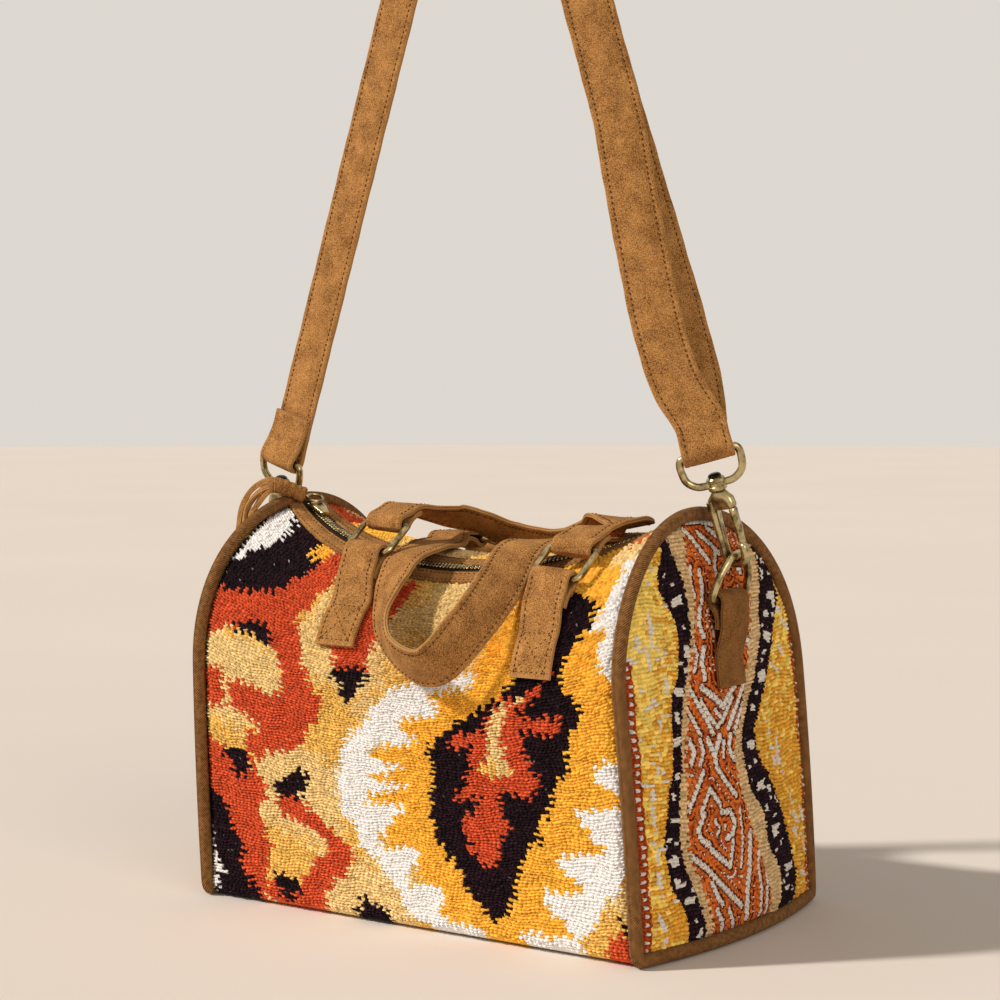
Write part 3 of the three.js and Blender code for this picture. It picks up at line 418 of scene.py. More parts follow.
class Shader:
    """Nodes of a new material: each method adds one and gives its output."""

    def __init__(self, name: str) -> None:
        """Start a material.

        Args:
            name: Its name.
        """
        self.material = bpy.data.materials.new(name)
        self.material.use_nodes = True
        self.tree = self.material.node_tree
        self.where = add_node(self.tree, "TexCoord", {}).outputs["Object"]

    def attribute(self, name: str, output: str = "Fac") -> Socket:
        """Read an attribute of the mesh."""
        return add_node(self.tree, "Attribute", {}, attribute_name=name).outputs[output]

    def noise(self, size: float, detail: float, roughness: float = 0.5) -> Socket:
        """Make noise whose clouds have a size in metres."""
        inputs = {"Vector": self.where, "Scale": 1 / size, "Detail": detail, "Roughness": roughness}
        return add_node(self.tree, "TexNoise", inputs).outputs[0]

    def math(self, operation: str, *values: Socket | float) -> Socket:
        """Do a sum."""
        return add_node(self.tree, "Math", dict(enumerate(values)), operation=operation).outputs[0]

    def scale(self, colour: Socket, share: Socket) -> Socket:
        """Make a colour lighter or darker."""
        return add_node(self.tree, "VectorMath", {0: colour, "Scale": share}, operation="SCALE").outputs[0]

    def span(self, value: Socket, low: float, high: float, to_low: float = 0.0,
             to_high: float = 1.0) -> Socket:
        """Map one span of values to another."""
        inputs = {"Value": value, "From Min": low, "From Max": high, "To Min": to_low, "To Max": to_high}
        return add_node(self.tree, "MapRange", inputs).outputs[0]

    def blend(self, share: Socket, first: Socket | str, second: str) -> Socket:
        """Blend two colours, given as hex digits or an output."""
        inputs = {0: share, 6: first if isinstance(first, Socket) else linear(first), 7: linear(second)}
        return add_node(self.tree, "Mix", inputs, data_type="RGBA").outputs[2]

    def bump(self, height: Socket, strength: float, distance: float) -> Socket:
        """Turn a height into fine relief."""
        inputs = {"Strength": strength, "Distance": distance, "Height": height}
        return add_node(self.tree, "Bump", inputs).outputs[0]

    def surface(self, inputs: Mapping[str, object]) -> Material:
        """Lead values and outputs into the surface, and give the finished material."""
        lead(self.tree, self.tree.nodes["Principled BSDF"], inputs)
        return self.material


class Side(IntEnum):
    """The long sides of the bag, by the sign of their depths."""

    FRONT = -1
    BACK = 1


class End(IntEnum):
    """The ends of the bag, by the sign of their stations."""

    LEFT = -1
    RIGHT = 1


class Yarn(Enum):
    """Dyed cotton yarns of the two cloths, and the colours of the painted highlight and painted shade on
    the end cloth's ropes.
    """

    PLUM = "2C1620"
    RED = "EE6A40"
    GOLD = "FFC650"
    CREAM = "FDDFA0"
    HONEY = "FCD074"
    WHITE = "F6F4F2"
    MUSTARD = "F4B948"
    YELLOW = "FFE27C"
    TAN = "EBCB9A"
    RUST = "B5501E"
    # Painted highlight: the lit half of each rust strand's twist.
    RUST_PAINTED_HIGHLIGHT = "DB7731"
    # Painted shade: the rust ground in the gaps between ropes.
    BRICK = "5E240E"
    BONE = "E8E2DA"
    # Painted shade: the grooves in the twist of the white ropes.
    BONE_PAINTED_SHADE = "B09C86"


YARNS = list(Yarn)
DYES = np.array([linear(yarn.value)[:3] for yarn in YARNS])


def dye(yarn: Yarn) -> int:
    """Give a yarn's place in the list of dyes."""
    return YARNS.index(yarn)


def dyed(colours: Points, *yarns: Yarn) -> Points:
    """Say which of some dyes belong to given yarns."""
    return np.isin(colours, [dye(yarn) for yarn in yarns])


@dataclass(frozen=True)
class WovenCotton:
    """Weft-faced cotton weave, plump and matt: its dyes, with painted shade in the pits between stitches
    and by the seams, are on the mesh, and loose fibres roughen it.
    """

    name: str
    fibre_mm: float = 0.7
    roughness: float = 0.92

    def material(self) -> Material:
        """Build the material.

        Returns:
            The material.
        """
        shader = Shader(self.name)
        fibre = shader.noise(self.fibre_mm * MM, 3.0)
        # The mesh's yarn colours carry painted shade; fibre noise varies their tone at random.
        dyes_with_painted_shade_and_fibre_tone = shader.scale(shader.attribute("yarn", "Color"), shader.span(fibre, 0.25, 0.75, 0.84, 1.12))
        return shader.surface({
            "Base Color": dyes_with_painted_shade_and_fibre_tone, "Normal": shader.bump(fibre, 0.5, 0.0004), "Roughness": self.roughness,
            "Sheen Weight": 0.02, "Specular IOR Level": 0.1})


@dataclass(frozen=True)
class Suede:
    """Split cowhide with a brushed nap: cloudy light and dark strokes, no shine, and pale raw edges."""

    name: str = "Cognac suede"
    dark: str = "5A3514"
    light: str = "C68F52"
    edge: str = "B48A55"
    sheen: str = "D9AE78"
    stroke_mm: float = 12.0
    nap_mm: float = 0.62
    roughness: float = 0.95

    def material(self) -> Material:
        """Build the material.

        Returns:
            The material.
        """
        shader = Shader(self.name)
        nap = shader.noise(self.nap_mm * MM, 4.0)
        strokes = shader.math("MULTIPLY_ADD", nap, 2.2, shader.noise(self.stroke_mm * MM, 5.0, 0.65))
        hide = shader.blend(shader.span(strokes, 1.2, 2.0), self.dark, self.light)
        return shader.surface({
            "Base Color": shader.blend(shader.attribute("cut"), hide, self.edge),
            "Normal": shader.bump(nap, 0.6, 0.0003), "Roughness": self.roughness, "Sheen Weight": 0.12,
            "Sheen Tint": linear(self.sheen), "Specular IOR Level": 0.15})


@dataclass(frozen=True)
class TwillBinding:
    """Brushed cotton twill cut on the bias over a cord: fine slanting ribs with painted shade in their
    grooves, matt and brown.
    """

    name: str = "Brown twill binding"
    dark: str = "4C2C10"
    light: str = "9A6D3D"
    rib_mm: float = 1.6
    cloud_mm: float = 2.5
    roughness: float = 0.9

    def material(self) -> Material:
        """Build the material.

        Returns:
            The material.
        """
        shader = Shader(self.name)
        slant = shader.math("ADD", shader.attribute("run"), shader.attribute("turn"))
        rib = shader.math("SINE", shader.math("MULTIPLY", slant, 2 * math.pi / self.rib_mm))
        height = shader.math("MULTIPLY_ADD", rib, 0.26, shader.noise(self.cloud_mm * MM, 5.0))
        # Painted shade: the grooves between ribs are darker; the clouds are the cloth's own mottling.
        return shader.surface({
            "Base Color": shader.blend(shader.span(height, 0.25, 0.8), self.dark, self.light),
            "Normal": shader.bump(height, 0.7, 0.0003), "Roughness": self.roughness,
            "Specular IOR Level": 0.2})


@dataclass(frozen=True)
class Metal:
    """Cast or drawn metal, plated and dulled: lighter and darker in random patches, partly its dulled
    plating and partly painted dark reflections.
    """

    name: str = "Antique brass"
    dark: str = "6B5B38"
    light: str = "C8B688"
    patch_mm: float = 5.0
    roughness: float = 0.24

    def material(self) -> Material:
        """Build the material.

        Returns:
            The material.
        """
        shader = Shader(self.name)
        patch = shader.noise(self.patch_mm * MM, 3.0)
        # Random light and dark patches: dulled plating, and painted dark reflections of the surroundings.
        return shader.surface({
            "Base Color": shader.blend(shader.span(patch, 0.35, 0.6), self.dark, self.light),
            "Roughness": shader.span(patch, 0.3, 0.7, self.roughness + 0.06, self.roughness - 0.04),
            "Metallic": 1.0})


@dataclass(frozen=True)
class PlainCloth:
    """Close plain weave or thread, matt, with a fine criss-cross grain."""

    name: str
    dark: str
    light: str
    thread_mm: float = 0.6
    roughness: float = 0.88

    def material(self) -> Material:
        """Build the material.

        Returns:
            The material.
        """
        shader = Shader(self.name)
        grain = shader.noise(self.thread_mm * MM, 2.0)
        return shader.surface({
            "Base Color": shader.blend(shader.span(grain, 0.3, 0.7), self.dark, self.light),
            "Normal": shader.bump(grain, 0.5, 0.0002), "Roughness": self.roughness,
            "Specular IOR Level": 0.15})


class Finish(Enum):
    """Finishes of the bag's pieces."""

    KILIM = WovenCotton("Cotton kilim")
    STRIPED = WovenCotton("Ribbed cotton stripe")
    SUEDE = Suede()
    # Painted shade: a darker copy of the cognac suede, for the end tabs.
    SHADED_SUEDE = Suede("Cognac suede with painted shade", "482A0E", "9C6A36")
    TWILL = TwillBinding()
    BRASS = Metal()
    RIVET = Metal("Blackened brass", "1E1A14", "3A3226")
    TAPE = PlainCloth("Polyester zip tape", "1E140C", "33241A")
    # Painted shade: the thread is darkened to stand in for the shade in its needle holes.
    THREAD = PlainCloth("Waxed brown thread", "3A220D", "5A3717", 0.9, 0.7)
    LINING = PlainCloth("Cotton lining", "8F7A5A", "A9926E")
    BOARD = PlainCloth("Cloth-covered board", "57493A", "6B5B48")


Finishes = Mapping[Finish, Material]


@dataclass(frozen=True)
class BagShape:
    """Outer surface of the bag, in millimetres, as the solids have it."""

    half_length: float = 160.0
    half_depth: float = 104.0
    end_height: float = 250.0
    shoulder_height: float = 150.0
    shoulder_sag: float = 13.0
    zip_sag: float = 37.0
    zip_forward: float = 35.0
    top_lean: float = 20.0
    end_lean: float = 12.0
    end_bulge: float = 14.0
    base_radius: float = 10.0
    panel_start: float = 18.9
    piping_radius: float = 4.0
    piping_sink: float = 0.5
    seam_gap: float = 0.3

    @property
    def zip_half(self) -> float:
        """Half the length of the zip line."""
        return self.half_length - self.end_lean

    @property
    def cloth_half(self) -> float:
        """Station at which the cloth of the body meets the piping."""
        return self.half_length - self.piping_radius - self.piping_sink - self.seam_gap

    def dip(self, x: Points) -> Points:
        """Give the share of the zip's sag at each place along the bag.

        Args:
            x: Places along the bag.

        Returns:
            Shares from 0 to 1.
        """
        sag = math.hypot(self.zip_sag, self.zip_forward)
        radius = (self.zip_half ** 2 + sag ** 2) / (2 * sag)
        held = np.minimum(np.abs(x), self.zip_half)
        return (np.sqrt(radius ** 2 - held ** 2) - math.sqrt(radius ** 2 - self.zip_half ** 2)) / sag

    def zip_point(self, x: float) -> Points:
        """Give a point of the zip line."""
        dip = float(self.dip(x))
        return np.array([x, -self.top_lean - self.zip_forward * dip, self.end_height - self.zip_sag * dip])

    def lean(self, z: Points) -> Points:
        """Give how far the bag leans forward at a height."""
        return self.top_lean * z / self.end_height

    def draw_in(self, x: Points, z: Points) -> Points:
        """Draw a station in as it rises, since the ends lean in."""
        return x * (1 - self.end_lean / self.half_length * (z / self.end_height) ** 2)

    def swell(self, x: Points, y: Points, z: Points) -> Points:
        """Give how far the ends swell out.

        Args:
            x: Stations.
            y: Depths.
            z: Heights.

        Returns:
            Lengths along the bag.
        """
        middle = 1 - np.minimum(np.abs(y + self.lean(z)) / self.half_depth, 1) ** 2
        low = 1 - np.minimum(z / self.end_height, 1) ** 2
        return np.sign(x) * self.end_bulge * (np.abs(x) / self.half_length) ** 3 * middle * low

    def place(self, x: Points, y: Points, z: Points) -> Points:
        """Give points of the cloth from stations, depths and heights."""
        return np.stack([self.draw_in(x, z) + self.swell(x, y, z), y, z + 0 * x], -1)

    def dome(self, x: float) -> tuple[float, float, float]:
        """Give the shoulder height, crown height and zip angle of a section.

        Args:
            x: Station of the section.

        Returns:
            Two heights, and an angle in radians.
        """
        dip = float(self.dip(x))
        for _ in range(4):
            dip = float(self.dip(self.draw_in(x, self.end_height - self.zip_sag * dip)))
        zip_height = self.end_height - self.zip_sag * dip
        shoulder = self.shoulder_height - self.shoulder_sag * dip
        forward = self.zip_forward + self.top_lean * self.zip_sag / self.end_height
        zip_angle = math.acos(min(dip * forward / self.half_depth, 0.9))
        return shoulder, shoulder + (zip_height - shoulder) / math.sin(zip_angle), zip_angle

    def dome_point(self, x: float, angle: Points) -> tuple[Points, Points]:
        """Give depth and height on a section's dome, from the front (0) to the back (pi).

        Args:
            x: Station of the section.
            angle: Angles in radians.

        Returns:
            Depths and heights.
        """
        shoulder, crown, _ = self.dome(x)
        z = shoulder + (crown - shoulder) * np.sin(angle)
        return -self.half_depth * np.cos(angle) - self.lean(z), z

    def half_line(self, x: float, side: Side) -> tuple[Points, Points, Points]:
        """Trace a section from the zip down to the start of the base.

        Args:
            x: Station of the section.
            side: Front or back.

        Returns:
            Distances from the zip, depths and heights.
        """
        shoulder, _, zip_angle = self.dome(x)
        end = 0.0 if side is Side.FRONT else math.pi
        y, z = self.dome_point(x, np.linspace(zip_angle, end, 160))
        low = np.linspace(shoulder, self.base_radius, 40)[1:]
        turn = np.linspace(0, math.pi / 2, 14)[1:]
        foot = self.base_radius * (1 - np.sin(turn))
        inset = self.base_radius * (1 - np.cos(turn))
        y = np.concatenate([y, side * self.half_depth - self.lean(low),
                            side * (self.half_depth - inset) - self.lean(foot)])
        z = np.concatenate([z, low, foot])
        steps = np.hypot(np.diff(y), np.diff(z))
        return np.concatenate([[0], np.cumsum(steps)]), y, z

    def wall_point(self, x: float, side: Side, z: float, out: float) -> Points:
        """Give a point off the front or back of the bag at a height.

        Args:
            x: Its station.
            side: Front or back.
            z: Its height.
            out: How far off it is.

        Returns:
            The point.
        """
        def at(height: float) -> Points:
            """Give the depth and height of the section at a height.

            Args:
                height: The height.

            Returns:
                Depth and height.
            """
            shoulder, crown, _ = self.dome(x)
            if height <= shoulder:
                return np.array([side * self.half_depth - self.lean(height), height])
            angle = math.asin(min((height - shoulder) / (crown - shoulder), 1))
            y, level = self.dome_point(x, angle if side is Side.FRONT else math.pi - angle)
            return np.array([y, level])

        run = unit(at(z + 1) - at(z - 1))
        y, level = at(z)
        return np.array([x, y + side * run[1] * out, level - side * run[0] * out])

    def top_point(self, x: float, y: float, clear: float) -> Points:
        """Give a point above the top of the bag, over a place in plan.

        Args:
            x: Its station.
            y: Its depth.
            clear: How far above it is.

        Returns:
            The point.
        """
        shoulder, crown, _ = self.dome(x)
        z = crown
        for _ in range(12):
            share = min(max((y + self.lean(z)) / self.half_depth, -1), 1)
            z = shoulder + (crown - shoulder) * math.sqrt(1 - share ** 2)
        return np.array([x, y, z + clear])

    def end_outline(self, inset: float, floor: float) -> Points:
        """Give the closed outline of an end, in depth and height, moved in and kept off the floor.

        Args:
            inset: How far it is moved in.
            floor: Its lowest height.

        Returns:
            Points in order.
        """
        halves = []
        for side in Side:
            along, y, z = self.half_line(self.half_length, side)
            even = np.linspace(0, along[-1], 110)
            halves.append(np.stack([np.interp(even, along, y), np.interp(even, along, z)], -1))
        base = np.linspace(halves[0][-1], halves[1][-1], 60)[1:-1]
        line = np.vstack([halves[0], base, halves[1][:0:-1]])
        run = unit(np.roll(line, -1, 0) - np.roll(line, 1, 0))
        moved = line - inset * np.stack([run[:, 1], -run[:, 0]], -1)
        moved[:, 1] = np.maximum(moved[:, 1], floor)
        return moved


SHAPE = BagShape()


class Kilim:
    """Fields of colour of the body cloth, as corners in stations and heights in millimetres."""

    FIELDS: Sequence[tuple[Yarn, Sequence[tuple[float, float]]]] = (
        (Yarn.GOLD, (
            (-2, 134), (14, 136), (26, 141), (24, 147), (36, 149), (46, 145), (56, 149), (54, 158),
            (60, 172), (68, 190), (92, 260), (170, 260), (170, 30), (150, -9), (20, -9), (18, 20),
            (8, 40), (-5, 50), (-18, 58), (-25, 75), (-22, 90), (-22, 105), (-5, 112), (4, 124))),
        (Yarn.WHITE, (
            (-4, 147), (-12, 138), (-22, 130), (-24, 124), (-32, 120), (-40, 111), (-46, 104), (-48, 90),
            (-50, 76), (-47, 66), (-38, 60), (-36, 50), (-29, 44), (-20, 38), (-12, 28), (-6, 22),
            (-3, 14), (6, 8), (16, 3), (20, -9), (54, -9), (56, 6), (48, 10), (32, 9), (24, 14), (28, 20),
            (30, 28), (16, 29), (2, 29), (4, 36), (8, 38), (12, 46), (8, 50), (-5, 49), (-18, 49),
            (-20, 53), (-14, 57), (-8, 63), (-4, 68), (2, 75), (-10, 75), (-28, 74), (-24, 79), (-12, 82),
            (-4, 86), (5, 88), (-8, 89), (-24, 88), (-20, 92), (-8, 95), (4, 102), (-8, 101), (-26, 103),
            (-22, 108), (-18, 112), (0, 111), (8, 112), (13, 116), (6, 119), (0, 124), (4, 129),
            (16, 130), (30, 130), (28, 138), (22, 143), (32, 144), (40, 149), (54, 151), (58, 155),
            (52, 160), (42, 156), (26, 151), (10, 149))),
        (Yarn.PLUM, (
            (118, 160), (122, 152), (128, 148), (131, 140), (128, 133), (124, 127), (120, 117),
            (121, 109), (115, 103), (111, 98), (109, 90), (104, 82), (99, 77), (97, 67), (92, 63),
            (88, 57), (84, 50), (82, 42), (77, 30), (74, 24), (68, 13), (62, 14), (54, 21), (51, 27),
            (44, 31), (41, 36), (40, 42), (33, 48), (28, 55), (22, 58), (24, 66), (19, 71), (24, 78),
            (21, 86), (25, 92), (22, 98), (25, 103), (21, 108), (22, 114), (28, 118), (36, 124),
            (45, 129), (52, 134), (60, 138), (70, 143), (78, 148), (84, 155), (88, 168), (92, 190),
            (104, 203), (120, 206), (136, 200), (134, 190), (127, 182), (121, 176))),
        (Yarn.RED, (
            (34, 111), (38, 119), (50, 124), (62, 127), (66, 134), (70, 141), (80, 145), (92, 149),
            (104, 156), (112, 161), (104, 151), (94, 144), (88, 136), (98, 137), (108, 138), (116, 140),
            (118, 131), (108, 128), (96, 127), (86, 125), (92, 117), (90, 113), (96, 110), (93, 104),
            (103, 103), (100, 98), (101, 93), (88, 90), (72, 90), (70, 80), (78, 72), (72, 64), (70, 57),
            (66, 47), (58, 45), (53, 48), (54, 52), (46, 54), (50, 60), (43, 67), (46, 73), (54, 80),
            (58, 86), (48, 84), (36, 83), (40, 88), (50, 92), (48, 98), (52, 104), (50, 111), (54, 117))),
        (Yarn.CREAM, (
            (72, 139), (80, 141), (92, 149), (96, 150), (84, 140), (78, 134), (74, 122), (76, 114),
            (84, 103), (72, 100), (60, 99), (56, 103), (64, 108), (62, 114), (66, 122), (66, 130))),
        (Yarn.WHITE, ((138, 108), (146, 115), (166, 117), (166, 98), (150, 97), (146, 102))),
        (Yarn.WHITE, (
            (166, 92), (126, 87), (123, 81), (129, 78), (134, 75), (131, 70), (138, 69), (146, 63),
            (128, 61), (110, 59), (110, 53), (116, 50), (119, 46), (127, 42), (124, 39), (110, 37),
            (99, 36), (96, 29), (103, 27), (104, 21), (112, 22), (113, 15), (122, 13), (128, 15),
            (134, 22), (138, 28), (142, 36), (150, 42), (152, 50), (166, 58))),
        (Yarn.WHITE, ((80, 9), (84, 3), (90, -9), (120, -9), (124, 6), (120, 12), (104, 10), (94, 11))),
        (Yarn.CREAM, (
            (122, 13), (134, 22), (142, 36), (150, 42), (166, 56), (166, 12), (148, -9), (122, -9))),
        (Yarn.RED, ((136, -9), (140, 9), (147, 17), (166, 20), (166, -9))),
        (Yarn.PLUM, ((148, 21), (152, 26), (166, 31), (166, 20))),
        (Yarn.WHITE, ((143, 180), (150, 186), (166, 190), (166, 164), (150, 162), (146, 168))),
        (Yarn.WHITE, ((135, 188), (142, 204), (144, 226), (166, 232), (166, 186), (148, 186))),
        (Yarn.CREAM, ((128, 222), (144, 224), (166, 230), (166, 262), (120, 262))),
        (Yarn.RED, ((118, 229), (132, 232), (150, 240), (166, 248), (166, 262), (110, 262))),
        (Yarn.PLUM, (
            (-166, 262), (-120, 240), (-108, 231), (-100, 226), (-95, 218), (-90, 208), (-98, 206),
            (-104, 201), (-112, 197), (-122, 193), (-134, 194), (-166, 200))),
        (Yarn.WHITE, (
            (-156, 214), (-152, 222), (-160, 252), (-147, 246), (-142, 238), (-137, 234), (-133, 227),
            (-137, 222), (-145, 219))),
        (Yarn.GOLD, (
            (-109, 219), (-104, 226), (-100, 236), (-86, 236), (-90, 221), (-96, 215), (-103, 214))),
        (Yarn.RED, (
            (-166, 201), (-134, 195), (-112, 197), (-98, 206), (-93, 216), (-98, 226), (-84, 240),
            (-60, 240), (-62, 222), (-76, 206), (-72, 202), (-78, 198), (-80, 190), (-90, 184),
            (-84, 178), (-82, 172), (-78, 166), (-76, 160), (-78, 154), (-70, 150), (-70, 144),
            (-64, 140), (-60, 134), (-60, 126), (-66, 120), (-70, 114), (-74, 108), (-80, 102),
            (-90, 100), (-104, 97), (-110, 91), (-118, 92), (-122, 100), (-120, 108), (-112, 112),
            (-104, 114), (-118, 117), (-132, 122), (-134, 130), (-133, 140), (-124, 141), (-112, 138),
            (-104, 133), (-92, 135), (-90, 145), (-94, 154), (-98, 160), (-104, 168), (-114, 173),
            (-128, 172), (-136, 176), (-146, 172), (-154, 168), (-166, 171))),
        (Yarn.PLUM, (
            (-133, 176), (-126, 178), (-116, 177), (-108, 176), (-103, 172), (-102, 166), (-104, 163),
            (-110, 166), (-118, 168), (-124, 170))),
        (Yarn.RED, (
            (-166, 148), (-148, 149), (-139, 145), (-140, 132), (-138, 126), (-150, 124), (-166, 126))),
        (Yarn.RED, (
            (-166, 106), (-152, 105), (-148, 100), (-136, 98), (-120, 96), (-118, 88), (-112, 82),
            (-106, 74), (-108, 68), (-114, 64), (-112, 58), (-110, 50), (-109, 44), (-104, 40),
            (-107, 32), (-108, 26), (-112, 18), (-110, 10), (-112, -9), (-130, -9), (-128, 20),
            (-134, 38), (-138, 54), (-148, 64), (-158, 74), (-166, 76))),
        (Yarn.PLUM, (
            (-145, 94), (-134, 99), (-124, 96), (-119, 91), (-122, 86), (-124, 82), (-130, 81),
            (-134, 83), (-135, 90))),
        (Yarn.PLUM, (
            (-166, 77), (-154, 70), (-146, 64), (-140, 58), (-138, 50), (-134, 42), (-126, 36),
            (-130, 28), (-126, 20), (-124, 12), (-116, 8), (-118, -9), (-166, -9))),
        (Yarn.WHITE, (
            (-166, 52), (-156, 46), (-153, 36), (-154, 30), (-148, 25), (-144, 18), (-151, 14), (-148, 9),
            (-156, 3), (-166, 1))),
        (Yarn.PLUM, (
            (-100, 76), (-96, 80), (-90, 83), (-86, 87), (-80, 89), (-69, 86), (-72, 82), (-76, 78),
            (-80, 74), (-86, 71), (-94, 70))),
        (Yarn.RED, (
            (-99, 70), (-90, 69), (-82, 72), (-76, 70), (-72, 64), (-64, 61), (-58, 56), (-50, 50),
            (-41, 44), (-40, 41), (-43, 34), (-46, 28), (-54, 24), (-56, 18), (-62, 12), (-66, -9),
            (-104, -9), (-110, 14), (-104, 20), (-96, 18), (-84, 18), (-78, 22), (-72, 28), (-68, 36),
            (-60, 42), (-60, 48), (-64, 52), (-78, 56), (-94, 58))),
        (Yarn.PLUM, (
            (-106, 18), (-102, 24), (-96, 22), (-81, 19), (-82, 14), (-88, 12), (-86, 5), (-95, 5),
            (-100, 14))),
        (Yarn.PLUM, ((-38, 17), (-26, 12), (-20, 9), (-11, 5), (-16, -9), (-42, -9), (-40, 8), (-34, 9))),
        (Yarn.RED, (
            (-62, 200), (-60, 172), (-50, 162), (-50, 153), (-40, 155), (-22, 152), (-26, 162),
            (-22, 174), (-16, 188), (-12, 205))),
        (Yarn.PLUM, (
            (-51, 155), (-40, 155), (-30, 155), (-21, 154), (-26, 149), (-30, 144), (-32, 138),
            (-40, 137), (-46, 139), (-42, 144), (-44, 148), (-51, 148))),
    )

    @classmethod
    def colours(cls, x: Points, z: Points, row: Points, column: Points) -> Points:
        """Choose a yarn for each stitch.

        Args:
            x: Stations of the stitches.
            z: Heights of the stitches.
            row: Their rows; colours reach over their edges in every second one.
            column: Their columns.

        Returns:
            Numbers in the list of dyes.
        """
        finger = np.where(row % 2 == 0, 1.0, -1.0) * (0.5 + 2.2 * scatter(row, np.floor(x / 38), 1.0))
        tooth = np.where(column % 2 == 0, 1.0, -1.0) * (0.4 + 2.0 * scatter(column, np.floor(z / 29), 6.0))
        wave = np.sin(x / 17 + z / 23) + np.sin(x / 41 - z / 13) + 1.2 * (scatter(row, column, 5.0) - 0.5)
        found = np.where(wave > 0.35, dye(Yarn.HONEY), dye(Yarn.CREAM))
        cream = found.copy()
        for yarn, corners in cls.FIELDS:
            here = inside(corners, x + finger, z + tooth)
            found = np.where(here, cream if yarn is Yarn.CREAM else dye(yarn), found)
        return found


def nearest(strokes: Sequence[tuple[float, Sequence[tuple[float, float]]]], x: Points,
            y: Points) -> tuple[Points, Points]:
    """Measure points against drawn strokes.

    Args:
        strokes: Half the width and the corners of each stroke.
        x: First coordinates of the points.
        y: Second coordinates of the points.

    Returns:
        The distance past the edge of the nearest stroke, less than 0 on it, and the place along it.
    """
    gap, run = np.full(np.shape(x), 1e6), np.zeros(np.shape(x))
    for half, stroke in strokes:
        past = 0.0
        for (x0, y0), (x1, y1) in zip(stroke, stroke[1:]):
            run_x, run_y = x1 - x0, y1 - y0
            span = math.hypot(run_x, run_y)
            share = np.clip(((x - x0) * run_x + (y - y0) * run_y) / span ** 2, 0, 1)
            away = np.hypot(x - x0 - share * run_x, y - y0 - share * run_y) - half
            run = np.where(away < gap, past + share * span, run)
            gap = np.minimum(away, gap)
            past += span
    return gap, run


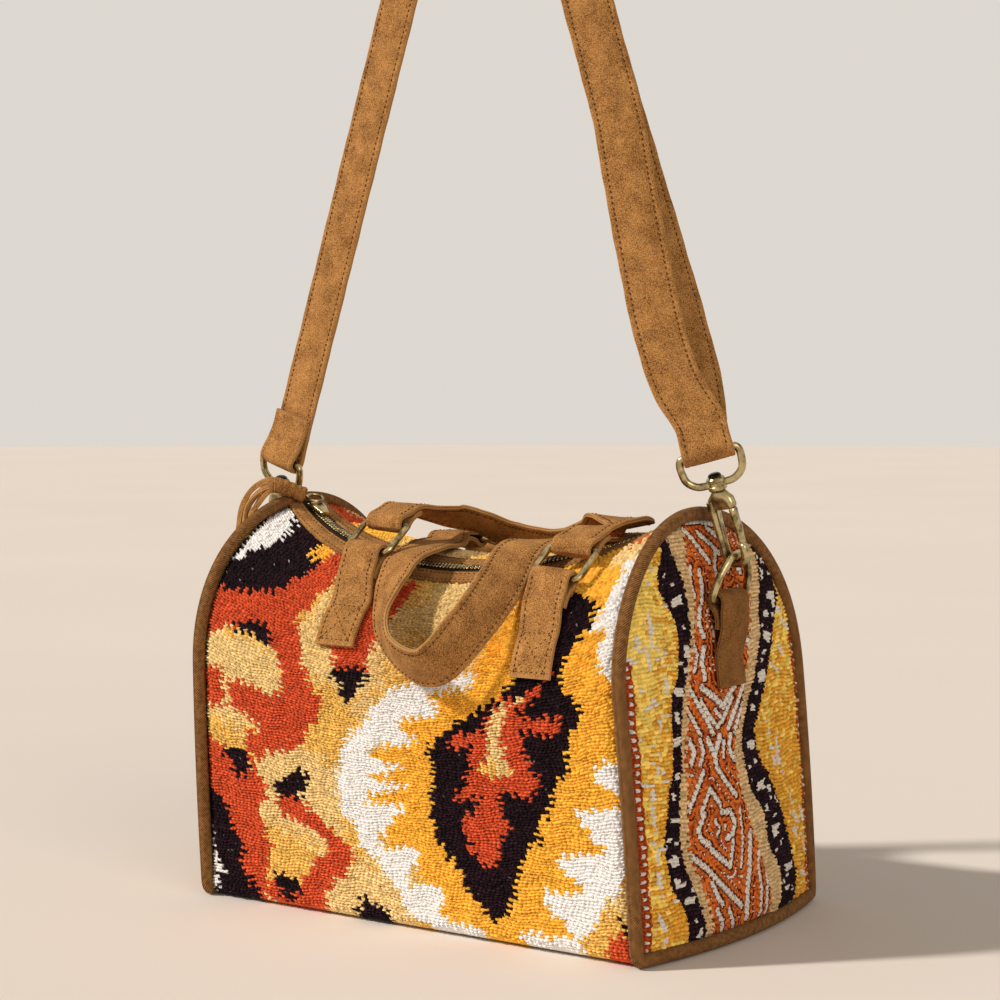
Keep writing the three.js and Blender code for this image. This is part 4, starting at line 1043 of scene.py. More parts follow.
class Stripes:
    """Upright stripes of the end cloth, as depths at heights in millimetres."""

    HEIGHTS = tuple(range(10, 231, 10))
    FRONT_PLUM = (
        -54.5, -56.5, -62, -68.5, -73, -75, -77.5, -77, -74.5, -72.5, -70.5, -70, -69.5, -68, -64, -60,
        -57, -54.5, -54.5, -55.5, -61, -63.5, -61)
    FRONT_PLUM_HALF = (
        7.5, 7.5, 8, 8.5, 7, 7, 6.5, 6, 4.5, 4, 4, 4, 4.5, 5, 4.5, 4.5, 5, 6.5, 7.5, 9.5, 13, 11.5, 4)
    BACK_PLUM = (
        52, 55, 53, 47.5, 41, 36, 31, 25, 17, 9, 5.5, 6.5, 13.5, 21, 28, 35.5, 41.5, 45.5, 50, 52, 51.5,
        49, 46)
    BACK_PLUM_HALF = (
        12, 13, 13, 12.5, 14, 14, 13, 13, 13, 11, 9.5, 7, 8.5, 9, 10, 9.5, 8.5, 9.5, 12, 12, 9.5, 8, 7)
    FIELD_FRONT = (
        -40, -41, -46, -52, -58, -61, -63, -63, -62, -62, -61.5, -61, -59, -57, -54, -51, -48, -44, -40,
        -38, -38, -40, -40)
    FIELD_BACK = (
        26, 27, 24, 18, 12, 6, 1, -3, -7, -10, -12, -8, 0, 4, 9, 14, 19, 22, 26, 28, 28, 26, 22)
    ROPE = 3.9
    STRAND = 4.0
    SQUARE = 2.2
    FIGURE = (
        (2.8, ((-32, 246), (-18, 246), (-2, 243))),
        (2.2, ((-37, 241), (-28, 233), (-20, 226), (-15, 221))),
        (2.0, ((-24, 239), (-12, 232), (-2, 225))), (2.1, ((-12, 241), (0, 234), (8, 226))),
        (2.4, ((-28, 217), (-27, 208), (-30, 199))), (1.7, ((-37, 220), (-39, 211), (-37, 203))),
        (2.6, ((-33, 196), (-36, 187), (-33, 180))), (2.8, ((-34, 173), (-38, 165), (-36, 156))),
        (1.8, ((-45, 178), (-42, 170), (-46, 161))), (2.4, ((4, 215), (12, 221), (20, 213))),
        (2.0, ((-6, 226), (-10, 218), (-8, 210))), (2.7, ((13, 186), (15, 177), (20, 170))),
        (2.4, ((6, 161), (10, 153))), (2.7, ((-41, 151), (-30, 145), (-20, 138), (-10, 145), (0, 151))),
        (2.3, ((-54, 153), (-46, 142), (-38, 132), (-33, 124))),
        (2.3, ((10, 151), (2, 143), (-8, 133), (-16, 125))),
        (2.0, ((-43, 144), (-35, 134), (-28, 127), (-20, 132), (-8, 142))),
        (2.0, ((-58, 141), (-51, 132), (-46, 125))), (2.0, ((4, 137), (-4, 129), (-9, 122))),
        (1.8, ((-29, 137), (-21, 130), (-15, 136))), (3.0, ((-39, 121), (-33, 112), (-26, 121))),
        (2.7, ((-33, 113), (-32, 105))), (2.4, ((-57, 122), (-53, 116), (-57, 109))),
        (2.1, ((-47, 122), (-44, 115), (-48, 108))), (2.4, ((-14, 121), (-17, 114), (-13, 107))),
        (1.9, ((-22, 118), (-24, 110))), (2.3, ((-46, 103), (-53, 94), (-61, 84))),
        (2.2, ((-31, 103), (-22, 94), (-12, 85))), (2.2, ((-49, 81), (-40, 93), (-30, 82))),
        (2.4, ((-47, 79), (-53, 71), (-50, 65), (-43, 61))),
        (2.4, ((-29, 78), (-20, 77), (-15, 70), (-18, 64), (-24, 62))),
        (1.5, ((-36, 74), (-32, 69), (-35, 65))), (2.2, ((-41, 58), (-31, 51), (-22, 45), (-18, 59))),
        (1.5, ((-9, 77), (-7, 60), (-10, 43))),
        (2.3, ((-60, 57), (-46, 48), (-34, 38), (-20, 27), (-10, 20))),
        (3.1, ((2, 61), (1, 50), (0, 40), (-3, 28), (-4, 12))), (2.2, ((-41, 39), (-36, 31), (-31, 25))),
        (2.1, ((-36, 22), (-31, 15), (-30, 8))), (2.0, ((-24, 21), (-18, 9))),
        (2.0, ((13, 53), (11, 40), (15, 26), (13, 10))), (2.1, ((20, 42), (23, 28), (21, 10))))
    STREAKS = (
        ((-86, 196), (-84, 186), (-86, 176)), ((-92, 178), (-90, 166)), ((-79, 174), (-78, 166)),
        ((-76, 160), (-74, 150)), ((-86, 148), (-83, 140), (-84, 131)), ((-86, 122), (-88, 108)),
        ((-91, 98), (-93, 86), (-91, 76)), ((-90, 64), (-88, 50), (-86, 40)),
        ((-89, 29), (-84, 20), (-81, 10)), ((68, 180), (76, 174)), ((60, 190), (66, 186)),
        ((58, 166), (66, 160)), ((46, 156), (56, 150)), ((30, 124), (34, 116)),
        ((44, 114), (46, 100), (52, 90)), ((36, 108), (42, 96)), ((60, 76), (68, 64), (76, 52)),
        ((66, 54), (74, 44)), ((80, 48), (88, 36)), ((78, 28), (90, 16)), ((82, 62), (86, 52)))
    BLOBS = (
        (-57, 201, 6, 3), (-60, 211, 2.4, 2.2), (-68, 218, 2.2, 2), (-55, 187, 2.4, 2.4),
        (-53.5, 173, 3.8, 3.4), (-60, 167, 1.8, 1.8), (-63.5, 151, 2.8, 3.2), (-69, 136, 2, 2.2),
        (-70, 124, 3, 2.8), (-71.5, 105, 3, 3), (-75, 93, 1.8, 2), (-76.5, 79, 4.6, 2.2), (-80, 68, 2, 2),
        (-75.5, 57, 4.4, 3.2), (-75, 45, 1.8, 2), (-63, 31.5, 5.2, 3.2), (-57, 20, 1.8, 1.8),
        (-53, 12, 2.4, 1.8), (50, 217, 2, 2), (56, 209, 2, 2), (55, 197, 5.4, 3), (46, 186, 3.8, 2.8),
        (43, 172, 4.6, 3.6), (36, 163, 2.2, 2), (30, 150, 6.4, 3.4), (22, 141, 2.2, 2), (14, 133, 3, 2.4),
        (8, 111, 5.6, 2.6), (4, 99, 2.8, 2.2), (17, 87.5, 5.6, 2.8), (28, 82, 2.8, 2), (23, 72, 2.8, 2.4),
        (34, 66, 1.8, 1.8), (35, 57.5, 6.4, 3), (44, 47, 2, 2), (37, 44, 2, 1.8), (54, 31.5, 8, 3.2),
        (49, 20, 1.8, 1.8), (60, 16, 2, 1.8))

    @classmethod
    def figure(cls, y: Points, z: Points) -> tuple[Points, Points]:
        """Measure places against the white ropes, as nearest() does."""
        return nearest([(0.8 * half, stroke) for half, stroke in cls.FIGURE], y, z)

    @classmethod
    def twist(cls, gap: Points, run: Points) -> Points:
        """Give the share of a strand's turn at each place of the twisted ropes."""
        return ((run + 1.3 * np.floor(gap / cls.ROPE) + 0.7 * (gap % cls.ROPE)) / cls.STRAND) % 1

    @classmethod
    def ropes(cls, y: Points, z: Points) -> tuple[Points, Points]:
        """Give how far the ropes of the middle field stand out, and how far in the field each place is.

        Args:
            y: Depths.
            z: Heights.

        Returns:
            Millimetres, and shares from 0 to 1.
        """
        gap, run = cls.figure(y, z)
        across = np.where(gap < 0, 0.5 - 0.5 * np.exp(np.minimum(gap, 0)), gap % cls.ROPE / cls.ROPE)
        height = 1.2 * np.sin(np.pi * across) ** 0.8 + 0.3 * np.sin(2 * np.pi * cls.twist(gap, run))
        front, back = (np.interp(z, cls.HEIGHTS, line) for line in (cls.FIELD_FRONT, cls.FIELD_BACK))
        return height, smoothstep(y - front, -0.8, 1.2) * smoothstep(back - y, -0.8, 1.2)

    @classmethod
    def colours(cls, y: Points, z: Points, row: Points, column: Points, edge: Points) -> Points:
        """Choose a yarn for each stitch.

        Args:
            y: Depths of the stitches.
            z: Heights of the stitches.
            row: Their rows.
            column: Their columns.
            edge: Their distance from the front or back seam, less than 0 near the back one.

        Returns:
            Numbers in the list of dyes.
        """
        line = {key: np.interp(z, cls.HEIGHTS, getattr(cls, key)) for key in (
            "FRONT_PLUM", "FRONT_PLUM_HALF", "BACK_PLUM", "BACK_PLUM_HALF", "FIELD_FRONT", "FIELD_BACK")}
        chance = scatter(row, column, 2.0)
        # More yellow stitches towards the top, and, as a painted highlight on the front edge, towards the
        # front.
        yellow_share_with_front_highlight = 0.45 * smoothstep(z, 90, 190) + 0.5 * smoothstep(-y, 70, 100)
        found = np.where(chance < 0.1 + yellow_share_with_front_highlight, dye(Yarn.YELLOW), dye(Yarn.MUSTARD))
        gap, _ = nearest([(1.4, streak) for streak in cls.STREAKS], y, z)
        found = np.where((gap < 0) & (scatter(row, column, 8.0) > 0.3), dye(Yarn.BONE), found)
        found = np.where((chance > 0.94) & (y < line["FRONT_PLUM"]), dye(Yarn.BONE), found)
        between = (y > line["FRONT_PLUM"]) & (y < line["BACK_PLUM"])
        found = np.where(between, dye(Yarn.TAN), found)
        sway = np.where(row % 2 == 0, 0.7, -0.7)
        field = (y > line["FIELD_FRONT"] + sway) & (y < line["FIELD_BACK"] + sway)
        gap, run = cls.figure(y, z)
        twist = cls.twist(gap, run)
        # The lit half of each strand's twist gets a painted highlight.
        ground = np.where(twist > 0.5, dye(Yarn.RUST_PAINTED_HIGHLIGHT), dye(Yarn.RUST))
        between_ropes = gap % cls.ROPE < 0.85
        # The gaps between ropes get painted shade.
        ground = np.where(between_ropes, dye(Yarn.BRICK), ground)
        ground = np.where(between_ropes & (gap > cls.ROPE) & (twist < 0.2), dye(Yarn.BONE), ground)
        # The grooves in the white ropes' twist get painted shade.
        ground = np.where(gap < 0, np.where(twist < 0.22, dye(Yarn.BONE_PAINTED_SHADE), dye(Yarn.BONE)), ground)
        found = np.where(field, ground, found)
        white = np.zeros(np.shape(y), bool)
        for middle, level, wide, tall in cls.BLOBS:
            aside = np.abs(np.round(y / cls.SQUARE) * cls.SQUARE - middle) / wide
            above = np.abs(np.round(z / cls.SQUARE) * cls.SQUARE - level) / tall
            white |= (aside < 0.9) & (above < 0.9) & (aside + above < 1.4)
        for name in ("FRONT_PLUM", "BACK_PLUM"):
            off = np.abs(y - line[name] + 0.8 * sway) / line[name + "_HALF"]
            fleck = (chance > 0.95) & (off < 0.8)
            found = np.where(off < 1, np.where(white | fleck, dye(Yarn.BONE), dye(Yarn.PLUM)), found)
        depth = np.abs(edge)
        dashes = np.where((depth > 2.6) & (depth < 5.0) & (row % 2 == 0), dye(Yarn.BONE), dye(Yarn.RUST))
        return np.where((depth < 7.4) & (z < 172), dashes, found)


@dataclass
class WovenPanel:
    """One panel of cloth whose stitches stand in relief, with painted shade in the pits between them."""

    name: str
    stitch_across: int
    stitch_up: int
    relief: float
    sink: float
    # How dark the painted shade in the pits between stitches is.
    pit_shade_strength: float = 0.6

    def shift(self, row: Points) -> Points:
        """Give how many faces each row is set over, so that stitches don't stand in columns."""
        return (row + np.floor(scatter(row, 0 * row, 4.0) * 1.6).astype(int)) % self.stitch_across

    def stitches(self, rows: int, columns: int) -> tuple[Points, Points]:
        """Number the row and column of the stitch that each face belongs to.

        Args:
            rows: Rows of faces.
            columns: Columns of faces.

        Returns:
            Rows and columns.
        """
        up, across = np.meshgrid(np.arange(rows), np.arange(columns), indexing="ij")
        row = up // self.stitch_up
        return row, (across + self.shift(row)) // self.stitch_across

    def raise_stitches(self, points: Points, calm: Points | float) -> tuple[Points, Points]:
        """Move points of a smooth sheet out into plump stitches of uneven size.

        Args:
            points: Rows of points on the sheet.
            calm: How flat the stitches lie at each point, from 0 to 1.

        Returns:
            The moved points, and how deep in a pit between stitches each one is, from 0 to 1.
        """
        along = unit(np.gradient(points, axis=1))
        upward = unit(np.gradient(points, axis=0))
        normal = unit(np.cross(along, upward))
        up, across = np.meshgrid(np.arange(points.shape[0]), np.arange(points.shape[1]), indexing="ij")
        row = up // self.stitch_up
        shifted = across + self.shift(row)
        stitch = shifted // self.stitch_across
        crest = up % self.stitch_up > 0
        u = (shifted % self.stitch_across) / self.stitch_across
        plump = 0.35 + 1.05 * scatter(row, stitch, 7.0)
        ridge = plump * (0.3 + 0.7 * np.sin(np.pi * u) ** 0.7)
        valley = np.where(u == 0, -0.4 * scatter(up, across, 14.0), 0.35 * scatter(up, across, 15.0))
        height = np.where(crest, ridge, valley) * (1 - calm)
        slant = np.where(row % 2 == 0, 0.4, -0.4) * crest + 0.5 * (scatter(up, across, 9.0) - 0.5)
        rise = np.where(crest, 0.5, 0.8) * (scatter(row, stitch, 10.0) - 0.5)
        p, q = 3.0 * across / self.stitch_across, 2.0 * up / self.stitch_up
        rise += 0.8 * np.sin(p / 7 + q / 13) + 0.6 * np.sin(p / 4.1 - q / 9 + 1)
        slant += 0.7 * np.sin(q / 6 - p / 15) + 0.4 * np.sin(q / 3.7 + p / 8)
        border = np.minimum.reduce([up - 1, up.max() - 1 - up, across - 1, across.max() - 1 - across])
        inner = np.clip(border / 6, 0, 1) * (1 - calm)
        aside = along * (slant * inner)[..., None] + upward * (rise * inner)[..., None]
        pit = (1 - np.clip((height + 0.3) / 1.15, 0, 1)) * (1 - calm)
        return points + normal * (self.relief * height - self.sink)[..., None] + aside, pit

    def build(self, points: Points, colours: Points, keep: Points | None = None,
              seam: Points | None = None, calm: Points | float = 0.0) -> Piece:
        """Make the panel.

        Args:
            points: Rows of points on the smooth sheet.
            colours: A dye for each face.
            keep: Which faces stay, or None for all.
            seam: How near a seam each point is, from 0 to 1, where shade is painted into the cloth.
            calm: How flat the stitches lie at each point, from 0 to 1.

        Returns:
            The panel, with its yarn colours, painted shade in the pits between stitches and painted shade
            by the seams on its face corners.
        """
        def corners(values: Points) -> Points:
            """Give the values of points at the four corners of each face."""
            around = [values[:-1, :-1], values[:-1, 1:], values[1:, 1:], values[1:, :-1]]
            return np.stack(around, -1)[..., None]

        moved, pit = self.raise_stitches(points, calm)
        piece = grid_piece(self.name, moved)
        rows, columns = colours.shape
        row, column = self.stitches(rows, columns)
        plum, pale = dyed(colours, Yarn.PLUM), dyed(colours, Yarn.WHITE, Yarn.BONE)
        bright, rich = dyed(colours, Yarn.GOLD, Yarn.YELLOW), dyed(colours, Yarn.RED, Yarn.PLUM)
        spread = np.select([plum, pale], [1.3, 0.12], 0.36)
        tint = DYES[colours] * (0.97 + spread * (scatter(row, column, 11.0) - 0.5))[..., None]
        speck = (scatter(row * 3 + 1, column * 5 + 2, 13.0) > 0.98) & plum
        first_up = np.arange(rows)[:, None] % self.stitch_up == 0
        first_across = np.arange(columns) % self.stitch_across == 0
        tint = np.where((speck & first_up & first_across)[..., None], DYES[dye(Yarn.BONE)] * 0.5, tint)
        # Painted shade: face corners deep in the pits between stitches are darkened and made richer in
        # colour, most for red and plum, least for white.
        depth = np.select([pale, bright, rich], [0.32, 0.6, 1.5], 1.0)[..., None, None] * self.pit_shade_strength
        pit_shade = corners(pit)
        colours_with_painted_shade = np.ones((rows, columns, 4, 4), np.float32)
        colours_with_painted_shade[..., :3] = tint[:, :, None, :] ** (1 + 0.35 * pit_shade) * (1 - depth * pit_shade ** 1.4)
        # Painted shade by the seams.
        if seam is not None:
            colours_with_painted_shade[..., :3] *= 1 - 0.8 * corners(seam)
        layer = piece.data.attributes.new("yarn", "FLOAT_COLOR", "CORNER")
        layer.data.foreach_set("color", colours_with_painted_shade.ravel())
        if keep is not None:
            only(piece)
            bpy.context.tool_settings.mesh_select_mode = (False, False, True)
            for parts in (piece.data.vertices, piece.data.edges):
                parts.foreach_set("select", np.zeros(len(parts), bool))
            piece.data.polygons.foreach_set("select", ~keep.ravel())
            bpy.ops.object.mode_set(mode="EDIT")
            bpy.ops.mesh.delete(type="FACE")
            bpy.ops.object.mode_set(mode="OBJECT")
        return piece


@dataclass
class BodyCloth:
    """Front, base and back of the bag in thick kilim."""

    shape: BagShape
    stitch_width: float = 3.0
    row_height: float = 2.0
    seam_pull: float = 1.8
    slack: float = 0.8

    def sheet(self, side: Side, columns: int, rows: int) -> Points:
        """Lay a smooth sheet over the front or back, from the base up to the zip facing.

        Args:
            side: Front or back.
            columns: Faces across.
            rows: Faces up.

        Returns:
            Rows of points.
        """
        end = self.shape.cloth_half
        full, _, _ = self.shape.half_line(end, side)
        tall = full[-1] - self.shape.panel_start
        share = np.linspace(0, 1, rows + 1)
        sheet = []
        for x in np.linspace(-end, end, columns + 1) * -side:
            along, y, z = self.shape.half_line(x, side)
            short = tall - (along[-1] - self.shape.panel_start)
            at = along[-1] - (share * tall - short * share ** 1.6)
            depth, level = np.interp(at, along, y), np.interp(at, along, z)
            sheet.append(self.shape.place(np.full(rows + 1, x), depth, level))
        points = np.array(sheet).transpose(1, 0, 2)
        normal = unit(np.cross(np.gradient(points, axis=1), np.gradient(points, axis=0)))
        x, z = points[..., 0], points[..., 2]
        waves = 0.5 + 0.25 * np.sin(x / 19 + z / 31 + 1) + 0.25 * np.sin(x / 11 - z / 17)
        seam = 1 - smoothstep(end - np.abs(np.linspace(-end, end, columns + 1)), 0, 6)
        pull = self.slack * waves + self.seam_pull * seam[None]
        return points - normal * (pull * smoothstep(z, 6, 20))[..., None]

    def panel(self, side: Side, panel: WovenPanel) -> Piece:
        """Weave the front or back panel.

        Args:
            side: Front or back.
            panel: Weave of the panel.

        Returns:
            The new piece.
        """
        end = self.shape.cloth_half
        full, _, _ = self.shape.half_line(end, side)
        rows = round((full[-1] - self.shape.panel_start) / self.row_height) * panel.stitch_up
        columns = round(2 * end / self.stitch_width) * panel.stitch_across
        points = self.sheet(side, columns, rows)
        row, column = panel.stitches(rows, columns)
        centre = (column + 0.5) * panel.stitch_across - panel.shift(row)
        x = (centre / columns * 2 - 1) * end * -side
        level = points[:-1, :-1, 2][row * panel.stitch_up + panel.stitch_up // 2,
                                    np.clip(centre.astype(int), 0, columns - 1)]
        colours = Kilim.colours(-side * x, level, row, column)
        # Painted shade along the end seams, where the cloth meets the piping.
        painted_seam_shade = 1 - smoothstep(end - np.abs(np.linspace(-end, end, columns + 1)), 0.2, 2.4)
        standing = 0.8 * (1 - smoothstep(points[..., 2], 1.0, 6.0))
        seam = np.broadcast_to(painted_seam_shade, points.shape[:2])
        return panel.build(points, colours, seam=seam, calm=standing)

    def base(self, panel: WovenPanel) -> Piece:
        """Weave the flat base.

        Args:
            panel: Weave of the panel.

        Returns:
            The new piece.
        """
        end = self.shape.cloth_half
        front = -(self.shape.half_depth - self.shape.base_radius)
        columns = round(2 * end / self.stitch_width) * panel.stitch_across
        rows = round(-2 * front / self.row_height) * panel.stitch_up
        x, y = np.meshgrid(np.linspace(end, -end, columns + 1), np.linspace(front, -front, rows + 1))
        points = self.shape.place(x, y, np.zeros_like(x))
        row, column = panel.stitches(rows, columns)
        across = (1 - (column + 0.5) * panel.stitch_across / columns * 2) * end
        from_middle = np.abs(row * self.row_height + front)
        colours = Kilim.colours(across, from_middle * 0.4, row, column)
        return panel.build(points, colours)


@dataclass
class EndCloth:
    """One end of the bag in striped cloth."""

    shape: BagShape
    side: End
    stitch_width: float = 4.0
    row_height: float = 2.5
    seam_pull: float = 1.4
    front: float = -118.0
    back: float = 104.0
    floor: float = 3.0
    top: float = 252.0

    PROUD = {Yarn.PLUM: 0.9, Yarn.BONE: 0.7, Yarn.RUST: 0.3, Yarn.RUST_PAINTED_HIGHLIGHT: 0.5}

    def build(self, panel: WovenPanel) -> Piece:
        """Weave the end panel and cut it to the outline of the end.

        Args:
            panel: Weave of the panel.

        Returns:
            The new piece.
        """
        columns = round((self.back - self.front) / self.stitch_width) * panel.stitch_across
        rows = round((self.top - self.floor) / self.row_height) * panel.stitch_up
        depths = np.linspace(self.front, self.back, columns + 1)
        y, z = np.meshgrid(depths, np.linspace(self.floor, self.top, rows + 1))
        if self.side is End.LEFT:
            y = y[:, ::-1]
        points = self.shape.place(np.full_like(y, self.side * self.shape.half_length), y, z)
        middle = (points[:-1, :-1] + points[1:, 1:]) / 2
        outline = self.shape.end_outline(2.0, 5.0)
        depth, level = middle[..., 1], middle[..., 2]
        keep = inside(outline, depth, level)
        row, column = panel.stitches(rows, columns)
        seam = self.shape.half_depth - (self.shape.piping_radius + self.shape.piping_sink)
        edge = np.where(depth < 0, depth + seam, depth - seam) + self.shape.lean(level)
        colours = Stripes.colours(depth, level, row, column, edge)
        rim = np.min([np.hypot(y - a, z - b) for a, b in outline], axis=0)
        points[..., 0] -= self.side * self.seam_pull * (1 - smoothstep(rim, 1, 9))
        proud = np.select([colours == dye(yarn) for yarn in self.PROUD], list(self.PROUD.values()), 0.0)
        spread = np.pad(proud, 1, mode="edge")
        lift = (spread[:-1, :-1] + spread[1:, :-1] + spread[:-1, 1:] + spread[1:, 1:]) / 4
        ropes, field = Stripes.ropes(y, z)
        points[..., 0] += self.side * (ropes * field + lift * (1 - field)) * smoothstep(rim, 2, 8)
        # The fourth value is painted shade along the seam round the rim.
        return panel.build(points, colours, keep, 1 - smoothstep(rim, 1.5, 4.5), 0.9 * field)


@dataclass(frozen=True)
class StrapCut:
    """Cross-section of a strap of two suede layers glued and sewn back to back."""

    width: float
    wall: float = 3.0
    sewn_in: float = 3.4
    pale: float = 0.8

    def profile(self) -> tuple[Points, Points]:
        """Give the section's points, across and out, and which of them are on a raw edge.

        Returns:
            Points, and 1 where the edge is raw.
        """
        half, face = self.width / 2, self.wall / 2
        rail = half - self.sewn_in
        top = [(-half + 0.5, face - 0.15), (-half + 1.4, face), (-rail - 0.7, face), (-rail, face - 0.28),
               (-rail + 0.7, face), (0, face + 0.1), (rail - 0.7, face), (rail, face - 0.28),
               (rail + 0.7, face), (half - 1.4, face), (half - 0.5, face - 0.15)]
        edge = [(half - 0.05, face - 0.6), (half, 0.3), (half - 0.6, 0.0), (half, -0.3),
                (half - 0.05, -face + 0.6)]
        points = np.array(top + edge)
        cut = [0.0] * len(top) + [1.0, 1.0, 0.15, 1.0, 1.0]
        return np.vstack([points, -points]), np.array(cut + cut)


class Ribbon:
    """A strap along a smooth curve, from stops of a point and a direction across it."""

    def __init__(self, stops: Sequence[Stop], pitch: float = 2.4) -> None:
        """Sample the curve.

        Args:
            stops: Points in millimetres and directions across the strap.
            pitch: Rough distance between samples.
        """
        fine = 24
        curve = spline([stop[0] for stop in stops], fine)
        sides = np.array([stop[1] for stop in stops], float)
        place = np.arange(len(curve)) / fine
        across = read_off(place, np.arange(len(sides)), sides)
        steps = distances(curve)
        self.length = float(steps[-1])
        even = np.linspace(0, self.length, max(int(self.length / pitch), 8))
        self.points = read_off(even, steps, curve)
        self.along = even
        self.run = unit(np.gradient(self.points, axis=0))
        wide = read_off(even, steps, across)
        wide -= self.run * np.sum(wide * self.run, axis=1, keepdims=True)
        self.across = unit(wide)
        self.face = np.cross(self.across, self.run)

    def strap(self, name: str, cut: StrapCut) -> Piece:
        """Make the strap's piece.

        Args:
            name: Name of the piece.
            cut: Section of the strap.

        Returns:
            The new piece.
        """
        profile, raw = cut.profile()
        wander = 0.25 * np.sin(self.along / 7.3) + 0.2 * np.sin(self.along / 3.1 + 1)
        widen = 1 + wander[:, None] * (np.abs(profile[:, 0]) > cut.width / 2 - 2) / cut.width
        rings = (self.points[:, None] + self.across[:, None] * (profile[:, 0] * widen)[..., None]
                 + self.face[:, None] * profile[None, :, 1, None])
        cuts = cut.pale * np.tile(raw, (len(rings), 1))
        cuts[0] = cuts[-1] = 0.5 * cut.pale
        return loft(name, rings, marks={"cut": cuts})

    def at(self, distance: float) -> tuple[Points, Points, Points, Points]:
        """Give the point, run, across and face at a distance along the strap.

        Args:
            distance: The distance.

        Returns:
            The point and three directions.
        """
        index = int(np.clip(np.searchsorted(self.along, distance), 1, len(self.along) - 1))
        share = (distance - self.along[index - 1]) / (self.along[index] - self.along[index - 1])
        return tuple(a[index - 1] * (1 - share) + a[index] * share
                     for a in (self.points, self.run, self.across, self.face))


@dataclass(frozen=True)
class Stitching:
    """Waxed thread drawn tight into suede; each stitch is a short dot whose dark colour is painted shade of
    its needle hole.
    """

    pitch: float = 3.4
    length: float = 1.7
    thick: float = 0.85
    proud: float = 0.02

    def pattern(self) -> Piece:
        """Model one stitch along X, sunk at both ends.

        Returns:
            The stitch at the origin, as a piece of its own.
        """
        bpy.ops.object.select_all(action="DESELECT")
        bpy.ops.mesh.primitive_uv_sphere_add(segments=6, ring_count=4, radius=1.0)
        stitch = bpy.context.object
        stitch.rotation_euler = (0, math.pi / 2, 0)
        bpy.ops.object.transform_apply(location=False, rotation=True, scale=False)
        stitch.scale = (self.length / 2, self.thick / 2, self.thick / 2)
        bpy.ops.object.transform_apply(location=False, rotation=False, scale=True)
        return stitch

    def along(self, ribbon: Ribbon, cut: StrapCut, start: float, stop: float,
              faces: Sequence[int] = (1, -1)) -> list[Matrix]:
        """Place stitches along both edges of a strap.

        Args:
            ribbon: The strap's curve.
            cut: Its section.
            start: Distance of the first stitch.
            stop: Distance of the last stitch.
            faces: 1 for the outer face, -1 for the inner one.

        Returns:
            A matrix for each stitch.
        """
        places = []
        for distance in np.arange(start, stop, self.pitch):
            point, run, across, face = ribbon.at(distance)
            for edge in (-1, 1):
                for way in faces:
                    lift = cut.wall / 2 + self.proud
                    spot = point + across * edge * (cut.width / 2 - cut.sewn_in) + face * way * lift
                    places.append(pose(spot, run, across, face))
        return places

    def line(self, ribbon: Ribbon, cut: StrapCut, a: tuple[float, float], b: tuple[float, float],
             way: int = 1) -> list[Matrix]:
        """Place stitches on a straight line over a strap, between two spots given along and across it.

        Args:
            ribbon: The strap's curve.
            cut: Its section.
            a: First spot.
            b: Last spot.
            way: 1 for the outer face, -1 for the inner one.

        Returns:
            A matrix for each stitch.
        """
        ahead, aside = b[0] - a[0], b[1] - a[1]
        count = int(math.hypot(ahead, aside) / self.pitch)
        places = []
        for share in (np.arange(count) + 0.5) / max(count, 1):
            point, run, across, face = ribbon.at(a[0] + ahead * share)
            heading = unit(run * ahead + across * aside)
            spot = point + across * (a[1] + aside * share) + face * way * (cut.wall / 2 + self.proud)
            places.append(pose(spot, heading, np.cross(face, heading), face))
        return places


def sewn_loop(bar: Points, axis: Points, leave: Points, outward: Points, wire: float, stub: float,
              wall: float = 3.0, gap: float = 0.6) -> list[Stop]:
    """Lead a strap round a bar, from the tip of its stub to where it leaves.

    Args:
        bar: Centre of the bar.
        axis: Direction of the bar.
        leave: Direction in which the strap leaves.
        outward: Direction in which its face looks.
        wire: Diameter of the bar.
        stub: Length of the sewn stub.
        wall: Thickness of the strap.
        gap: Room left round the bar.

    Returns:
        Stops of the strap.
    """
    radius = wire / 2 + gap + wall / 2
    under = radius - wall - gap
    away = square_to(leave, axis)
    face = square_to(square_to(outward, axis), away)
    path = [(stub, under), (stub * 0.7, under), (stub * 0.38, under - 1.6), (radius * 0.75, -radius * 0.85),
            (-radius * 0.25, -radius), (-radius, 0), (-radius * 0.25, radius), (stub * 0.45, radius),
            (stub, radius)]
    return [(bar + away * t + face * n, np.asarray(axis, float)) for t, n in path]


def wire_piece(name: str, path: Points, normal: Points, diameter: float) -> Piece:
    """Make a ring of round wire along a flat path."""
    return loft(name, tube(path, diameter / 2, 16, normal, True), True)


def rounded_frame(origin: Points, across: Points, up: Points, width: float, height: float,
                  radius: float) -> Points:
    """Give the path of a rectangle with round corners, whose foot is centred on its origin.

    Args:
        origin: Middle of its foot.
        across: Direction of its width.
        up: Direction of its height.
        width: Its width.
        height: Its height.
        radius: Radius of its corners.

    Returns:
        Evenly spread points.
    """
    path = []
    for w, h, start in ((-1, 0, 180), (1, 0, 270), (1, 1, 0), (-1, 1, 90)):
        for turn in np.linspace(0, 90, 9):
            angle = math.radians(start + turn)
            a = w * (width / 2 - radius) + radius * math.cos(angle)
            b = (height - radius if h else radius) + radius * math.sin(angle)
            path.append(origin + across * a + up * b)
    ring = np.vstack([path, path[:1]])
    steps = distances(ring)
    return read_off(np.linspace(0, steps[-1], 97)[:-1], steps, ring)


@dataclass(frozen=True)
class TabSeat:
    """Where a tab of a hand strap is sewn, and how much higher it sits than the others."""

    side: Side
    hand: End
    lift: float

    @property
    def name(self) -> str:
        """Name of the tab's corner of the bag, with which the names of its pieces start."""
        return f"{self.side.name}_{self.hand.name}".lower()


class Below(float):
    """How far below the top of the ends a stop lies, on the front of the bag."""


